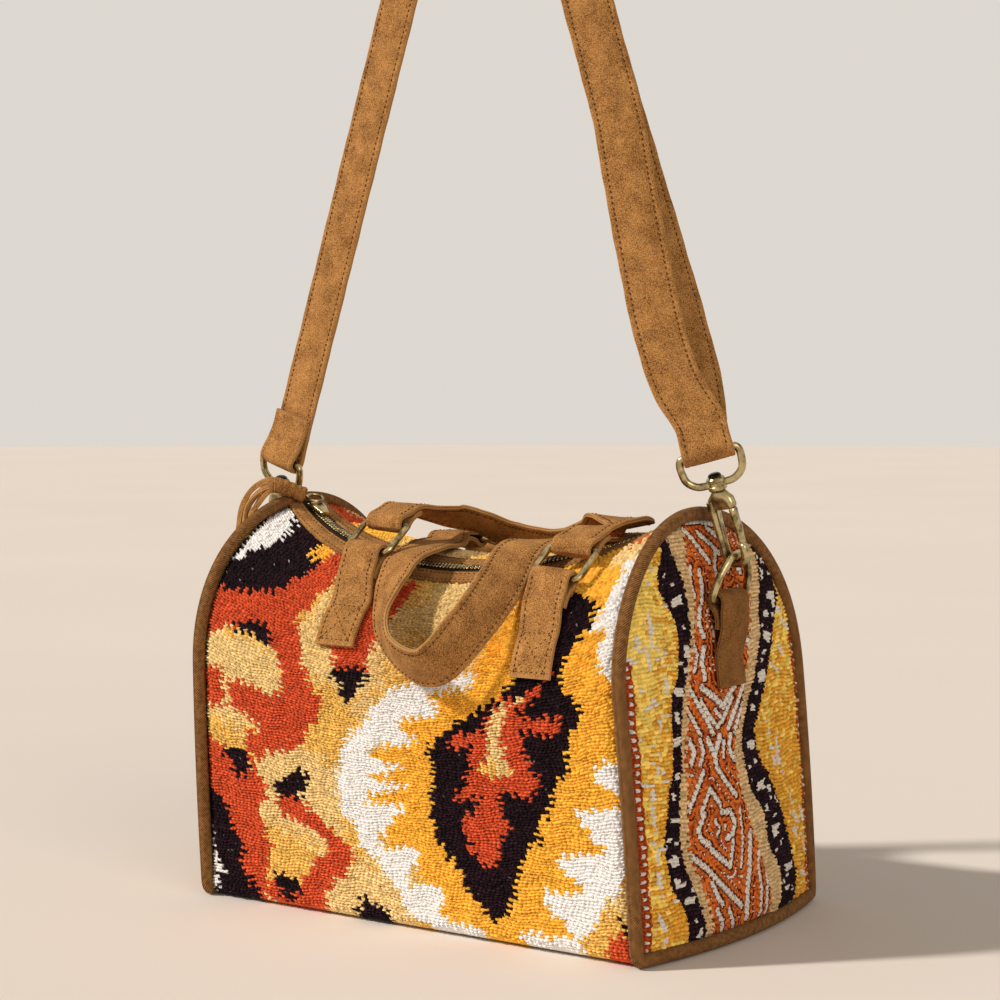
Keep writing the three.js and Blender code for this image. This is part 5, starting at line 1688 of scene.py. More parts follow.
@dataclass
class Handles:
    """Tabs, rectangular rings and hand straps."""

    shape: BagShape
    width: float = 28.0
    spacing: float = 145.0
    front_offset: float = 24.0
    back_offset: float = 16.0
    bottom: float = 163.0
    leave: float = 188.0
    front_rise: float = 33.0
    back_rise: float = 30.0
    rise_lean: float = 0.36
    ring_wire: float = 4.0
    ring_inner: float = 30.0
    ring_pitch: float = 24.0
    front_ring_lean: float = 0.85
    back_ring_lean: float = 1.3
    sewn_out: float = 2.4
    loop_radius: float = 4.1
    stub: float = 17.0
    front_climb: float = 0.37
    back_climb: float = 0.05
    first_stitch: float = 34.0
    box_high: float = 26.0
    box_low: float = 3.4

    FRONT_ROUTE = (
        (1, -8, 25, (1, -0.1, 0.15)), (4, 18, 21, (0.85, -0.2, 0.4)), (18, 29, 20, (0.5, -0.5, 0.4)),
        (36, 43, 14, (0.12, -0.62, 0.7)), (70, 50, 12, (0, -0.66, 0.74)),
        (101, 40, 15.6, (-0.15, -0.66, 0.66)), (116, 27, 21, (-0.6, -0.6, 0.12)),
        (133, 19, 15.5, (-0.75, -0.5, 0.05)), (146, 6, 11, (-0.95, -0.25, -0.2)),
        (152, -9, 12, (-0.95, -0.05, -0.3)), (150, -24, 13.5, (-0.95, 0, -0.3)))
    BACK_ROUTE = (
        (6, 24, 4.5, 1), (18, 0, 4, 1), (34, -33, 11, 1), (38, -62, 19, (0.95, -0.2, 0)),
        (41, Below(54), 15, (0.87, -0.45, -0.1)), (51, Below(74), 17, (0.75, -0.6, 0.3)),
        (70, Below(88), 21, (0.35, -0.65, 0.65)), (98, Below(92), 25, (0, -0.55, 0.83)),
        (120, Below(73), 24, (-0.5, -0.4, 0.75)), (123, Below(54), 18, (-0.75, -0.35, 0.5)),
        (118, -53, 20, (-0.95, -0.1, 0.15)), (121, -27, 12, -1), (131, 2, 5, -1), (143, 25, 6.5, -1))
    TABS = (
        TabSeat(Side.FRONT, End.LEFT, 4.0), TabSeat(Side.FRONT, End.RIGHT, -4.0),
        TabSeat(Side.BACK, End.LEFT, 0.0), TabSeat(Side.BACK, End.RIGHT, 4.0))
    BODIES = {Side.FRONT: "front_handle", Side.BACK: "bag"}

    def tab_x(self, tab: TabSeat) -> float:
        """Give the station of a tab."""
        offset = self.front_offset if tab.side is Side.FRONT else self.back_offset
        return offset + tab.hand * self.spacing / 2

    def rise_frame(self, side: Side) -> tuple[Points, Points]:
        """Give the directions in which the tabs of a side rise off the cloth and face outwards."""
        rise = unit([0, -side * self.rise_lean, 1])
        return rise, square_to([0, side, 0], rise)

    def tab_bar(self, tab: TabSeat) -> Points:
        """Give the place of a ring's bar in the bend of its tab.

        Args:
            tab: Seat of the tab.

        Returns:
            The middle of the bar.
        """
        rise, outward = self.rise_frame(tab.side)
        start = self.shape.wall_point(self.tab_x(tab), tab.side, self.leave + tab.lift, self.sewn_out)
        height = self.front_rise if tab.side is Side.FRONT else self.back_rise
        return start + rise * height - outward * self.loop_radius

    def ring_frame(self, tab: TabSeat) -> tuple[Points, Points, Points, Points]:
        """Give a ring's lower bar, its axis, its upward direction and its upper bar.

        Args:
            tab: Seat of the tab.

        Returns:
            Two places and, between them, two directions.
        """
        bars = [self.tab_bar(other) for other in self.TABS if other.side is tab.side]
        axis = unit(bars[1] - bars[0])
        angle = self.front_ring_lean if tab.side is Side.FRONT else self.back_ring_lean
        up = square_to([0, -tab.side * math.sin(angle), math.cos(angle)], axis)
        bar = self.tab_bar(tab)
        return bar, axis, up, bar + up * self.ring_pitch

    def across_cloth(self, point: Callable[[float], Points], x: float) -> Points:
        """Give the direction along the bag on a line of its cloth."""
        return unit(point(x + self.width / 2) - point(x - self.width / 2))

    def tab_ribbon(self, tab: TabSeat) -> Ribbon:
        """Give the curve of a tab, from its stub over its ring to its sewn foot.

        Args:
            tab: Seat of the tab.

        Returns:
            The curve.
        """
        rise, outward = self.rise_frame(tab.side)
        bar, axis, _, _ = self.ring_frame(tab)
        stops = sewn_loop(bar, axis, -rise, outward, self.ring_wire, self.stub)
        x = self.tab_x(tab)
        for share in (1, 0.75, 0.5, 0.25, 0):
            z = self.bottom + tab.lift + (self.leave - self.bottom) * share
            across = self.across_cloth(lambda q, z=z: self.shape.wall_point(q, tab.side, z, 0), x)
            stops.append((self.shape.wall_point(x, tab.side, z, self.sewn_out), across))
        return Ribbon(stops)

    def strap_ribbon(self, side: Side) -> Ribbon:
        """Give the curve of a hand strap, from one ring to the other.

        Args:
            side: Front or back.

        Returns:
            The curve.
        """
        rings = [self.ring_frame(tab) for tab in self.TABS if tab.side is side]
        (_, axis, _, left), (_, _, _, right) = rings
        climb = self.front_climb if side is Side.FRONT else self.back_climb
        leave = np.array([0, -side * math.cos(climb), math.sin(climb)])
        outward = np.array([0, side * math.sin(climb), math.cos(climb)])
        stops = sewn_loop(left, axis, leave, outward, self.ring_wire, self.stub)
        crown = self.shape.zip_point(0)[1] + self.shape.zip_forward
        route = self.FRONT_ROUTE if side is Side.FRONT else self.BACK_ROUTE
        for along, behind, clear, across in route:
            x = left[0] + along
            if isinstance(behind, Below):
                height = self.shape.end_height - behind
                stops.append((self.shape.wall_point(x, Side.FRONT, height, clear), np.array(across, float)))
                continue
            y = crown + behind
            if isinstance(across, tuple):
                wide = np.array(across, float)
            else:
                wide = across * self.across_cloth(lambda q, y=y: self.shape.top_point(q, y, 0), x)
            stops.append((self.shape.top_point(x, y, clear), wide))
        stops += sewn_loop(right, -axis, leave, outward, self.ring_wire, self.stub)[::-1]
        return Ribbon(stops)

    def build(self, finishes: Finishes) -> None:
        """Make all tabs, rings and straps with their stitching.

        Args:
            finishes: Materials by name.
        """
        suede, brass, thread = finishes[Finish.SUEDE], finishes[Finish.BRASS], finishes[Finish.THREAD]
        cut = StrapCut(self.width)
        sewing = Stitching()
        for tab in self.TABS:
            ribbon = self.tab_ribbon(tab)
            settle(ribbon.strap(f"{tab.name}_suede_tab", cut), "bag", suede, [f"{tab.name}_tab"])
            half = self.width / 2 - cut.sewn_in
            box, low = ribbon.length - self.box_high, ribbon.length - self.box_low
            places = sewing.along(ribbon, cut, self.first_stitch, ribbon.length - 3, (tab.side,))
            for a, b in (((low, -half), (low, half)), ((box, -half), (box, half)),
                         ((box, -half), (low, half)), ((box, half), (low, -half))):
                places += sewing.line(ribbon, cut, a, b, tab.side)
            settle(repeat(f"{tab.name}_tab_stitches", sewing.pattern(), places), "bag", thread)
            bar, axis, up, _ = self.ring_frame(tab)
            width = self.ring_inner + self.ring_wire
            path = rounded_frame(bar, axis, up, width, self.ring_pitch, self.ring_wire)
            ring = wire_piece(f"{tab.name}_wire_ring", path, np.cross(axis, up), self.ring_wire)
            settle(ring, self.BODIES[tab.side], brass, [f"{tab.name}_ring"])
        for side, body in self.BODIES.items():
            name = side.name.lower()
            ribbon = self.strap_ribbon(side)
            LOG.info("%s hand strap is %.0f mm long", name, ribbon.length)
            strap = ribbon.strap(f"{name}_suede_hand_strap", cut)
            settle(strap, body, suede, [f"{name}_hand_strap"])
            places = sewing.along(ribbon, cut, self.first_stitch, ribbon.length - self.first_stitch)
            settle(repeat(f"{name}_strap_stitches", sewing.pattern(), places), body, thread)


@dataclass
class Trim:
    """Pipings, zip facings, zip and its slider with a tassel."""

    shape: BagShape
    tooth_count: int = 112
    slider_inset: float = 20.0
    ring_radius: float = 5.1
    ring_wire: float = 1.8
    thongs: int = 6

    SLIDER = (
        (-7.4, 3.6, 2.6), (-7.0, 4.6, 3.6), (-4.0, 4.9, 4.0), (0.0, 4.2, 4.0), (4.0, 3.4, 3.6),
        (7.0, 2.9, 3.2), (7.4, 2.2, 2.6))
    THONG = ((-1.6, -0.7), (0, -0.8), (1.6, -0.7), (1.6, 0.7), (0, 0.8), (-1.6, 0.7))

    def piping(self, name: str, side: End) -> Piece:
        """Make the piping round one end.

        Args:
            name: Name of the piece.
            side: Left or right.

        Returns:
            The new piece.
        """
        floor = self.shape.piping_radius + self.shape.seam_gap
        line = self.shape.end_outline(self.shape.piping_sink, floor)
        station = np.full(len(line), side * (self.shape.half_length - self.shape.piping_sink))
        path = self.shape.place(station, line[:, 0], line[:, 1])
        sides = 16
        rings = tube(path, self.shape.piping_radius, sides, np.array([1.0, 0, 0]), True)
        steps = np.linalg.norm(np.roll(path, -1, 0) - path, axis=1)
        run = np.concatenate([[0], np.cumsum(steps)[:-1]])
        turn = circle(sides) * self.shape.piping_radius
        marks = {"run": np.broadcast_to(run[:, None], rings.shape[:2]),
                 "turn": np.broadcast_to(turn[None], rings.shape[:2])}
        return loft(name, rings, True, marks)

    def strip(self, side: Side, offsets: Points, lifts: Points, wall: float, stations: int) -> Points:
        """Give the closed sections of a strip beside the zip.

        Args:
            side: In front of the zip or behind it.
            offsets: Distances of the strip's points from the zip.
            lifts: How far each point stands out of the cloth.
            wall: Thickness of the strip.
            stations: Number of sections less one.

        Returns:
            Rings of points.
        """
        rings = []
        end = self.shape.cloth_half
        for x in np.linspace(-end, end, stations + 1):
            along, y, z = self.shape.half_line(x, side)
            line = np.stack([np.interp(offsets, along, y), np.interp(offsets, along, z)], -1)
            run = unit(np.gradient(line, axis=0))
            out = side * np.stack([-run[:, 1], run[:, 0]], -1)
            out *= np.where(out[:, 1:] < 0, -1, 1)
            top, under = line + out * lifts[:, None], line + out * (lifts - wall)[:, None]
            ring = np.vstack([top, under[::-1]])
            rings.append(self.shape.place(np.full(len(ring), x), ring[:, 0], ring[:, 1]))
        return np.array(rings)

    def facing(self, name: str, side: Side) -> Piece:
        """Make a suede facing with a turned edge beside the zip.

        Args:
            name: Name of the piece.
            side: Front or back.

        Returns:
            The new piece.
        """
        offsets = np.array([6.4, 6.7, 7.4, 8.4, 9.2, 11.0, 13.0, 15.0, 16.0, 17.0, 17.8, 18.2])
        lifts = np.array([-0.3, 0.5, 0.9, 0.7, 0.35, 0.6, 0.6, 0.3, 0.1, 0.4, 0.2, -0.5])
        rings = self.strip(side, offsets, lifts, 2.0, 110)
        cut = np.zeros(rings.shape[:2])
        cut[:, 0] = 0.7
        return loft(name, rings, marks={"cut": cut})

    @staticmethod
    def on_line(rings: Points, k: int) -> Matrix:
        """Place a stitch or a tooth on the second line of a strip.

        Args:
            rings: Rings of the strip.
            k: Number of the ring.

        Returns:
            The place as a matrix.
        """
        run = unit(rings[k + 1, 1] - rings[k - 1, 1])
        across = square_to(rings[k, 2] - rings[k, 1], run)
        return pose(rings[k, 1], run, across, np.cross(run, across))

    def facing_stitches(self, name: str, side: Side) -> Piece:
        """Sew a line along both edges of a facing.

        Args:
            name: Name of the piece.
            side: Front or back.

        Returns:
            The new piece.
        """
        places = []
        for offset, lift in ((9.2, 0.4), (16.0, 0.15)):
            offsets = np.array([offset - 1, offset, offset + 1])
            rings = self.strip(side, offsets, np.full(3, lift), 1.0, 92)
            places += [self.on_line(rings, k) for k in range(2, len(rings) - 2)]
        return repeat(name, Stitching().pattern(), places)

    def tape(self, name: str, side: Side) -> Piece:
        """Make one zip tape.

        Args:
            name: Name of the piece.
            side: Front or back.

        Returns:
            The new piece.
        """
        offsets = np.array([0.4, 1.2, 3.2, 4.6, 5.9])
        lifts = np.array([0.0, 0.0, -0.1, -0.1, -0.1])
        return loft(name, self.strip(side, offsets, lifts, 1.0, 80))

    def teeth(self) -> Piece:
        """Make both rows of teeth, which take turns along the zip.

        Returns:
            The new piece.
        """
        bpy.ops.object.select_all(action="DESELECT")
        bpy.ops.mesh.primitive_cube_add(size=1.0)
        tooth = bpy.context.object
        tooth.scale = (1.5, 3.1, 2.0)
        bpy.ops.object.transform_apply(location=False, rotation=False, scale=True)
        edit(tooth, lambda: bpy.ops.mesh.bevel(offset=0.35, segments=1))
        places = []
        stations = 2 * self.tooth_count
        for shift, side in enumerate(Side):
            rings = self.strip(side, np.array([0.2, 1.5, 3.0]), np.full(3, 0.4), 1.0, stations)
            places += [self.on_line(rings, k + shift) for k in range(4, stations - 4, 2)]
        return repeat("zip_teeth", tooth, places)

    def slider_frame(self) -> tuple[Points, Points, Points, Points]:
        """Give the seat of the zip slider, and its directions along, across and out.

        Returns:
            The seat and three directions.
        """
        x = -(self.shape.zip_half - self.slider_inset)
        along = unit(self.shape.zip_point(x + 1) - self.shape.zip_point(x - 1))
        level = x * 0.75
        spots = []
        for side in Side:
            distance, y, z = self.shape.half_line(level, side)
            spots.append(np.array([0, np.interp(3.0, distance, y), np.interp(3.0, distance, z)]))
        across = square_to(spots[1] - spots[0], along)
        return self.shape.zip_point(x), along, across, np.cross(along, across)

    def slider(self) -> Piece:
        """Make the slider: a waisted shell with a bridge on top.

        Returns:
            The new piece.
        """
        seat, along, across, out = self.slider_frame()
        turns = circle(20)
        rings = []
        for a, w, h in self.SLIDER:
            wide = w * blunt(np.cos(turns), 0.5)
            high = 1.9 + h / 2 + h / 2 * blunt(np.sin(turns), 0.5)
            rings.append(seat + along * a + np.outer(wide, across) + np.outer(high, out))
        return loft("slider_shell", np.array(rings))

    def pull_centre(self) -> Points:
        """Give the centre of the pull ring."""
        seat, along, _, out = self.slider_frame()
        return seat - along * 9.5 + out * 7.1

    def pull_ring(self) -> Piece:
        """Make the small ring on the slider.

        Returns:
            The new piece.
        """
        _, along, across, out = self.slider_frame()
        turns = circle(32)
        ring = np.outer(np.cos(turns), along) + np.outer(np.sin(turns), across)
        path = self.pull_centre() + self.ring_radius * ring
        return wire_piece("pull_wire_ring", path, out, self.ring_wire)

    def tassel_line(self) -> Points:
        """Give the middle line of the tassel, from the pull ring over the end of the bag.

        Returns:
            Points in order.
        """
        run = np.array([-0.6, -0.75, 0.28])
        start = self.pull_centre() + run * 6.6
        knee = start + run * 24
        clear = -(self.shape.half_length - self.shape.end_lean + 8 + 9)
        bend = np.array([clear, knee[1] - 5, knee[2] - 12])
        front, tip = bend + np.array([-2, -3, -16]), bend + np.array([-1, -4, -40])
        return spline([start, knee, bend, front, tip], 20)

    def tassel(self) -> Piece:
        """Make the tassel: thongs bound together at the head, hanging loose below.

        Returns:
            The new piece.
        """
        line = self.tassel_line()
        steps = distances(line)
        run = unit(np.gradient(line, axis=0))
        across = unit(np.cross(run, np.array([0.2, 1.0, 0.1])))
        face = np.cross(run, across)
        spread = smoothstep(steps, 16, 40)
        pieces = []
        for k in range(self.thongs):
            aside = (k - 2.5) * (1.1 + 1.5 * spread) + 0.6 * spread * np.sin(steps / 9 + 2 * k)
            behind = (1.5 if k % 2 else -1.5) * (0.6 + 0.7 * spread) + 0.5 * spread * np.cos(steps / 11 + k)
            centre = line + across * aside[:, None] + face * behind[:, None]
            last = int(len(line) * (0.93 + 0.07 * math.cos(4 * k)))
            twist = 0.5 * np.sin(steps / 14 + 1.7 * k) * spread
            wide = across * np.cos(twist)[:, None] + face * np.sin(twist)[:, None]
            thin = np.cross(run, wide)
            rings = np.stack([centre + wide * a + thin * b for a, b in self.THONG], 1)[:last]
            cut = np.broadcast_to([0.5, 0, 0.5, 0.5, 0, 0.5], rings.shape[:2])
            pieces.append(loft(f"thong_{k}", rings, marks={"cut": cut}))
        head = np.linspace(0.5, 22, 60)
        middle, wide, thin = (read_off(head, steps, rows)[:, None] for rows in (line, across, face))
        turns = circle(24)[None, :, None]
        bound = 5.0 + 0.45 * np.abs(np.sin(head * math.pi / 4.2)) - 1.2 * np.exp(-((head - 7.5) / 0.9) ** 2)
        bound *= np.clip(np.minimum(head + 1.5, 24 - head) / 2.4, 0.55, 1)
        oval = np.cos(turns) * wide + 0.85 * np.sin(turns) * thin
        pieces.append(loft("bound_head", middle + bound[:, None, None] * oval))
        return join("suede_tassel", *pieces)

    def build(self, finishes: Finishes) -> None:
        """Make all the trim.

        Args:
            finishes: Materials by name.
        """
        suede, brass = finishes[Finish.SUEDE], finishes[Finish.BRASS]
        for end in End:
            name = end.name.lower()
            piping = self.piping(f"{name}_bound_piping", end)
            settle(piping, "bag", finishes[Finish.TWILL], [f"{name}_piping"])
        for side in Side:
            name = side.name.lower()
            facing = self.facing(f"{name}_suede_facing", side)
            settle(facing, "bag", suede, [f"{name}_zip_facing"])
            stitches = self.facing_stitches(f"{name}_facing_stitches", side)
            settle(stitches, "bag", finishes[Finish.THREAD])
            tape = self.tape(f"{name}_woven_tape", side)
            settle(tape, "bag", finishes[Finish.TAPE], [f"{name}_zip_tape"])
        settle(self.teeth(), "bag", brass)
        settle(self.slider(), "zip_slider", brass, ["zip_slider"])
        settle(self.pull_ring(), "zip_slider", brass, ["zip_pull_ring"])
        tassel = settle(self.tassel(), "zip_slider", suede, ["zip_tassel"])
        tuple(self.pull_centre() * MM)
        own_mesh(tassel)


@dataclass(frozen=True)
class HookSeat:
    """Where a snap hook hangs: its foot in the D-ring, its axis and its outer side."""

    side: End
    drop: float
    foot: tuple[float, float, float]
    lean: tuple[float, float, float]
    out: tuple[float, float, float]

    @property
    def name(self) -> str:
        """Name of the bag's end, with which the names of its fittings start."""
        return self.side.name.lower()


class Leg(NamedTuple):
    """One leg of the shoulder strap: the bar that it hangs on, its directions and its length."""

    bar: Points
    run: Points
    across: Points
    face: Points
    length: float


@dataclass
class EndFittings:
    """End tabs, D-rings, snap hooks, strap loops and the shoulder strap."""

    shape: BagShape
    width: float = 30.0
    tab_top: float = 200.0
    tab_bottom: float = 149.0
    tab_y: float = -11.0
    standoff: float = 6.8
    d_wire: float = 4.5
    d_inner: float = 34.0
    d_height: float = 26.0
    d_lean: float = 0.28
    d_foot: float = 2.0
    hook_wire: float = 5.2
    eye_half: float = 6.6
    spine: float = 29.0
    head: tuple[float, float, float] = (18.0, 7.0, 10.0)
    gate_wire: float = 4.4
    gate_gap: float = 0.8
    shank: float = 4.8
    collar: tuple[float, float] = (11.0, 8.0)
    loop_wire: float = 4.6
    loop_rise: float = 19.0
    apex: tuple[float, float, float] = (-2.0, -20.0, 785.0)
    apex_radius: float = 16.0
    adjuster_share: float = 0.72
    adjuster_travel: float = 120.0
    adjuster_wire: float = 4.0
    adjuster_reach: float = 13.0
    adjuster_front: float = 4.1
    adjuster_deep: float = -7.7
    return_foot: float = 17.3
    sewn_fold: float = 62.0

    SEATS = (
        HookSeat(End.LEFT, 9.0, (-172.955, -15.66, 217.218), (0.27, -0.3, 1), (-0.964, -0.157, 0.213)),
        HookSeat(End.RIGHT, 0.0, (171.526, -15.232, 226.35), (-0.16, -0.28, 1), (0.985, -0.117, 0.125)))
    FRONT_LAYER = ((250, 0.0), (205, -0.2), (165, -3.5), (110, -7.5), (70, -9.0), (42, -7.0))
    BACK_LAYER = (
        (230, 0.3, 1.5, 0.1), (170, 2.0, 4.0, 0.25), (115, 4.0, 6.0, 0.4), (72, 5.0, 7.0, 0.45),
        (42, 4.0, 4.5, 0.3))

    def end_wall(self, seat: HookSeat, z: float, out: float) -> Points:
        """Give a point off the end of the bag on the tab's middle line."""
        wall = self.shape.place(np.array(self.shape.half_length), np.array(self.tab_y), np.array(float(z)))
        return np.array([seat.side * (wall[0] + out), self.tab_y, z])

    def frames(self, seat: HookSeat) -> tuple[Points, Points, Points, Points]:
        """Give a hook's foot, axis, outer side and thickness direction.

        Args:
            seat: The hook's seat.

        Returns:
            The foot and three directions.
        """
        axis = unit(seat.lean)
        out = square_to(seat.out, axis)
        return np.array(seat.foot), axis, out, np.cross(axis, out)

    @property
    def bend_radius(self) -> float:
        """Radius of the middle of the strap in its bend round a loop's bar."""
        return self.loop_wire / 2 + 0.6 + 1.5

    @property
    def collar_bottom(self) -> float:
        """Height of the collar above the hook's foot."""
        return self.spine + self.head[2] + 0.3

    def leg(self, seat: HookSeat) -> Leg:
        """Give a strap leg's bar, run, across, face and length.

        Args:
            seat: The hook's seat.

        Returns:
            The middle of the bar, three directions and a length.
        """
        foot, axis, _, _ = self.frames(seat)
        bar = foot + axis * (self.collar_bottom + self.collar[1] / 2 + self.loop_rise)
        top = np.array(self.apex)
        run = unit(top - bar)
        across = unit(np.cross(axis, run))
        across = -across if across[0] < 0 else across
        face = unit(np.cross(across, run))
        face = -face if face[1] * seat.side > 0 else face
        length = float(np.linalg.norm(top - bar)) - 3 * self.apex_radius
        return Leg(bar, run, across, face, length)

    def tab(self, seat: HookSeat) -> Ribbon:
        """Give the curve of an end tab.

        Args:
            seat: The hook's seat.

        Returns:
            The curve.
        """
        across = np.array([0, seat.side, 0], float)
        bar = self.end_wall(seat, self.tab_top - seat.drop, self.standoff)
        down, outward = np.array([0, 0, -1.0]), np.array([seat.side, 0, 0.0])
        stops = sewn_loop(bar, across, down, outward, self.d_wire, 17)
        start, bottom = self.tab_top - seat.drop - 34, self.tab_bottom - seat.drop
        stops += [(self.end_wall(seat, z, 2.4), across) for z in (start, (start + bottom) / 2, bottom)]
        return Ribbon(stops)

    def d_ring(self, seat: HookSeat) -> Piece:
        """Make a D-ring.

        Args:
            seat: The hook's seat.

        Returns:
            The new piece.
        """
        across = np.array([0, seat.side, 0], float)
        bar = self.end_wall(seat, self.tab_top - seat.drop, self.standoff)
        up = unit([seat.side * self.d_lean, 0, 1])
        half = (self.d_inner + self.d_wire) / 2
        arc = [bar + across * half * math.cos(t) + up * (self.d_foot + self.d_height * math.sin(t))
               for t in np.linspace(0, math.pi, 41)]
        foot = half - self.d_foot
        base = [bar - across * foot * s for s in np.linspace(1, -1, 21)]
        corners = [bar + across * hand * (half - 0.5) + up * 0.6 for hand in (-1, 1)]
        path = np.array([*arc, corners[0], *base, corners[1]])
        return wire_piece(f"{seat.name}_cast_d_ring", path, np.cross(across, up), self.d_wire)

    def hook(self, seat: HookSeat) -> tuple[Piece, Piece]:
        """Make a snap hook's body, with bow and head, and its riveted shank.

        Args:
            seat: The hook's seat.

        Returns:
            The body and the shank.
        """
        foot, axis, out, thick = self.frames(seat)
        bottom = self.d_wire / 2 + 0.6 + self.hook_wire / 2
        turns = np.linspace(math.pi, 2 * math.pi, 25)
        bow = [foot + out * self.eye_half * math.cos(t) + axis * bottom * math.sin(t) for t in turns]
        spine = [foot - out * self.eye_half + axis * h for h in np.linspace(self.spine + 4, 2, 14)]
        nose = [foot + out * self.eye_half + axis * h for h in (2.0, 4.0, 5.4, 6.3)]
        path = np.array([*spine, *bow, *nose])
        sizes = np.full(len(path), self.hook_wire / 2)
        sizes[-1], sizes[-2] = 1.2, 2.2
        sizes[:10] += np.linspace(0.5, 0.0, 10)
        deep = np.interp(np.arange(len(path)), (0, 10, 18, len(path) - 1), (1.45, 1.4, 1.05, 1.0))
        name = f"{seat.name}_snap_hook"
        body = loft(name, tube(path, sizes, 16, thick, deep=deep))
        wide, deep, tall = self.head
        turns = circle(28)
        rings = []
        for h, w, d in ((-1.0, 0.8, 0.75), (0.0, 0.96, 0.95), (1.2, 1.0, 1.0), (tall * 0.55, 0.92, 1.0),
                        (tall - 2.2, 0.66, 0.92), (tall - 0.7, 0.5, 0.86), (tall, 0.42, 0.74)):
            a = w * wide / 2 * blunt(np.cos(turns), 0.55)
            b = d * deep / 2 * blunt(np.sin(turns), 0.55)
            rings.append(foot + axis * (self.spine + h) + np.outer(a, out) + np.outer(b, thick))
        head = loft("head", np.array(rings))
        low, high = self.spine + tall - 0.4, self.collar_bottom + self.collar[1] + 0.3
        turns = circle(24)
        ring = np.outer(np.cos(turns), out) + np.outer(np.sin(turns), thick)
        turned = ((low, 2.4), (high, 2.4), (high + 0.05, 3.9), (high + 1.0, 3.9), (high + 1.7, 3.3),
                  (high + 2.2, 2.2))
        stem = [foot + axis * h + r * ring for h, r in turned]
        rivet = loft(f"{seat.name}_swivel_rivet", np.array(stem))
        return join(name, body, head), rivet

    def gate(self, seat: HookSeat) -> Piece:
        """Make a hook's sprung gate, with a thumb catch.

        Args:
            seat: The hook's seat.

        Returns:
            The new piece.
        """
        foot, axis, out, thick = self.frames(seat)
        low, high = self.eye_half + self.gate_gap / 2, self.spine - self.gate_gap
        heights = np.linspace(low, high, 24)
        bulge = 0.9 * np.exp(-((heights - low - 9) / 3.0) ** 2)
        path = foot + np.outer(self.eye_half + 0.3 * bulge, out) + np.outer(heights, axis)
        sizes = self.gate_wire / 2 * np.ones(24)
        sizes[0] -= 0.7
        sizes[-1] -= 0.4
        rings = tube(path, sizes, 14, thick, deep=np.linspace(1.15, 1.5, 24))
        return loft(f"{seat.name}_sprung_gate", rings)

    def loop(self, seat: HookSeat) -> Piece:
        """Make the loop that turns on a hook's shank and holds the strap.

        Args:
            seat: The hook's seat.

        Returns:
            The new piece.
        """
        foot, axis, out, thick = self.frames(seat)
        across = self.leg(seat).across
        half = (self.width + self.loop_wire) / 2 + 0.3
        start = self.collar_bottom + self.collar[1] / 2
        inner = (self.shank + self.collar[0]) / 4
        rise = self.loop_rise
        right = [(inner, 0), (half * 0.62, 0.8), (half * 0.92, 5), (half, 10), (half, rise - 3),
                 (half - 1, rise - 1), (half - 3, rise)]
        points = right + [(-a, w) for a, w in right[::-1]]
        path = spline([foot + across * a + axis * (start + w) for a, w in points], 6)
        name = f"{seat.name}_swivel_loop"
        body = loft(name, tube(path, self.loop_wire / 2, 16, np.cross(across, axis)))
        outer, bore, tall = self.collar[0] / 2, self.shank / 2 + 0.3, self.collar[1]
        profile = ((bore, 0.0), (outer - 0.8, 0.0), (outer, 0.9), (outer, 2.6), (outer - 0.5, 3.1),
                   (outer - 0.5, 4.9), (outer, 5.4), (outer, tall - 0.9), (outer - 0.8, tall), (bore, tall))
        rings = []
        for t in circle(36):
            aside = out * math.cos(t) + thick * math.sin(t)
            rings.append([foot + axis * (self.collar_bottom + h) + aside * r for r, h in profile])
        return join(name, body, loft("collar", np.array(rings), True))

    def strap(self) -> Ribbon:
        """Give the curve of the shoulder strap, from the left loop over its top to the right loop.

        Returns:
            The curve.
        """
        left, right = (self.leg(seat) for seat in self.SEATS)
        depthwise = np.array([0, 1.0, 0])
        stops = sewn_loop(left.bar, left.across, left.run, left.face, self.loop_wire, 30)

        def on(leg: Leg, share: float, aside: float = 0.0) -> Stop:
            """Give a stop at a share of a leg's length, set aside, and turned near the top.

            Args:
                leg: The leg.
                share: The share.
                aside: How far aside it is.

            Returns:
                The stop.
            """
            turn = float(smoothstep(share, self.adjuster_share + 0.1, 1))
            across = leg.across * (1 - turn) + depthwise * turn
            spot = leg.bar + leg.run * leg.length * share + leg.across * aside
            return spot + leg.face * self.bend_radius, across

        shares = (0.2, 0.45, self.adjuster_share, 0.82, 0.92, 1)
        stops += [on(left, share) for share in shares]
        top = np.array(self.apex)
        beside, below = self.apex_radius * 0.75, -self.apex_radius
        over = (top + (-beside, 0, below), top, top + (beside, 0, below))
        stops += [(spot, depthwise) for spot in over]
        stops += [on(right, share) for share in shares[:1:-1]]
        stops += [on(right, height / right.length, aside) for height, aside in self.FRONT_LAYER]
        stops += sewn_loop(right.bar, right.across, right.run, right.face, self.loop_wire, 17)[::-1]
        return Ribbon(stops)

    def doubled(self) -> Ribbon:
        """Give the curve of the strap's doubled part, from the adjuster down to the right loop.

        Returns:
            The curve.
        """
        bar, run, across, face, length = self.leg(self.SEATS[1])
        under = self.bend_radius - 3.6
        foot = bar + run * self.return_foot + face * under
        deep = self.bend_radius + self.adjuster_deep
        middle_bar = bar + run * length * self.adjuster_share + face * deep
        stops = sewn_loop(middle_bar, across, -run, -face, self.adjuster_wire, 17, gap=1.7)
        for height, aside, behind, turn in self.BACK_LAYER:
            wide = across * math.cos(turn) - face * math.sin(turn)
            stops.append((bar + run * height + across * aside + face * (under - behind), wide))
        stops.append((foot + across * 0.8, across))
        return Ribbon(stops)

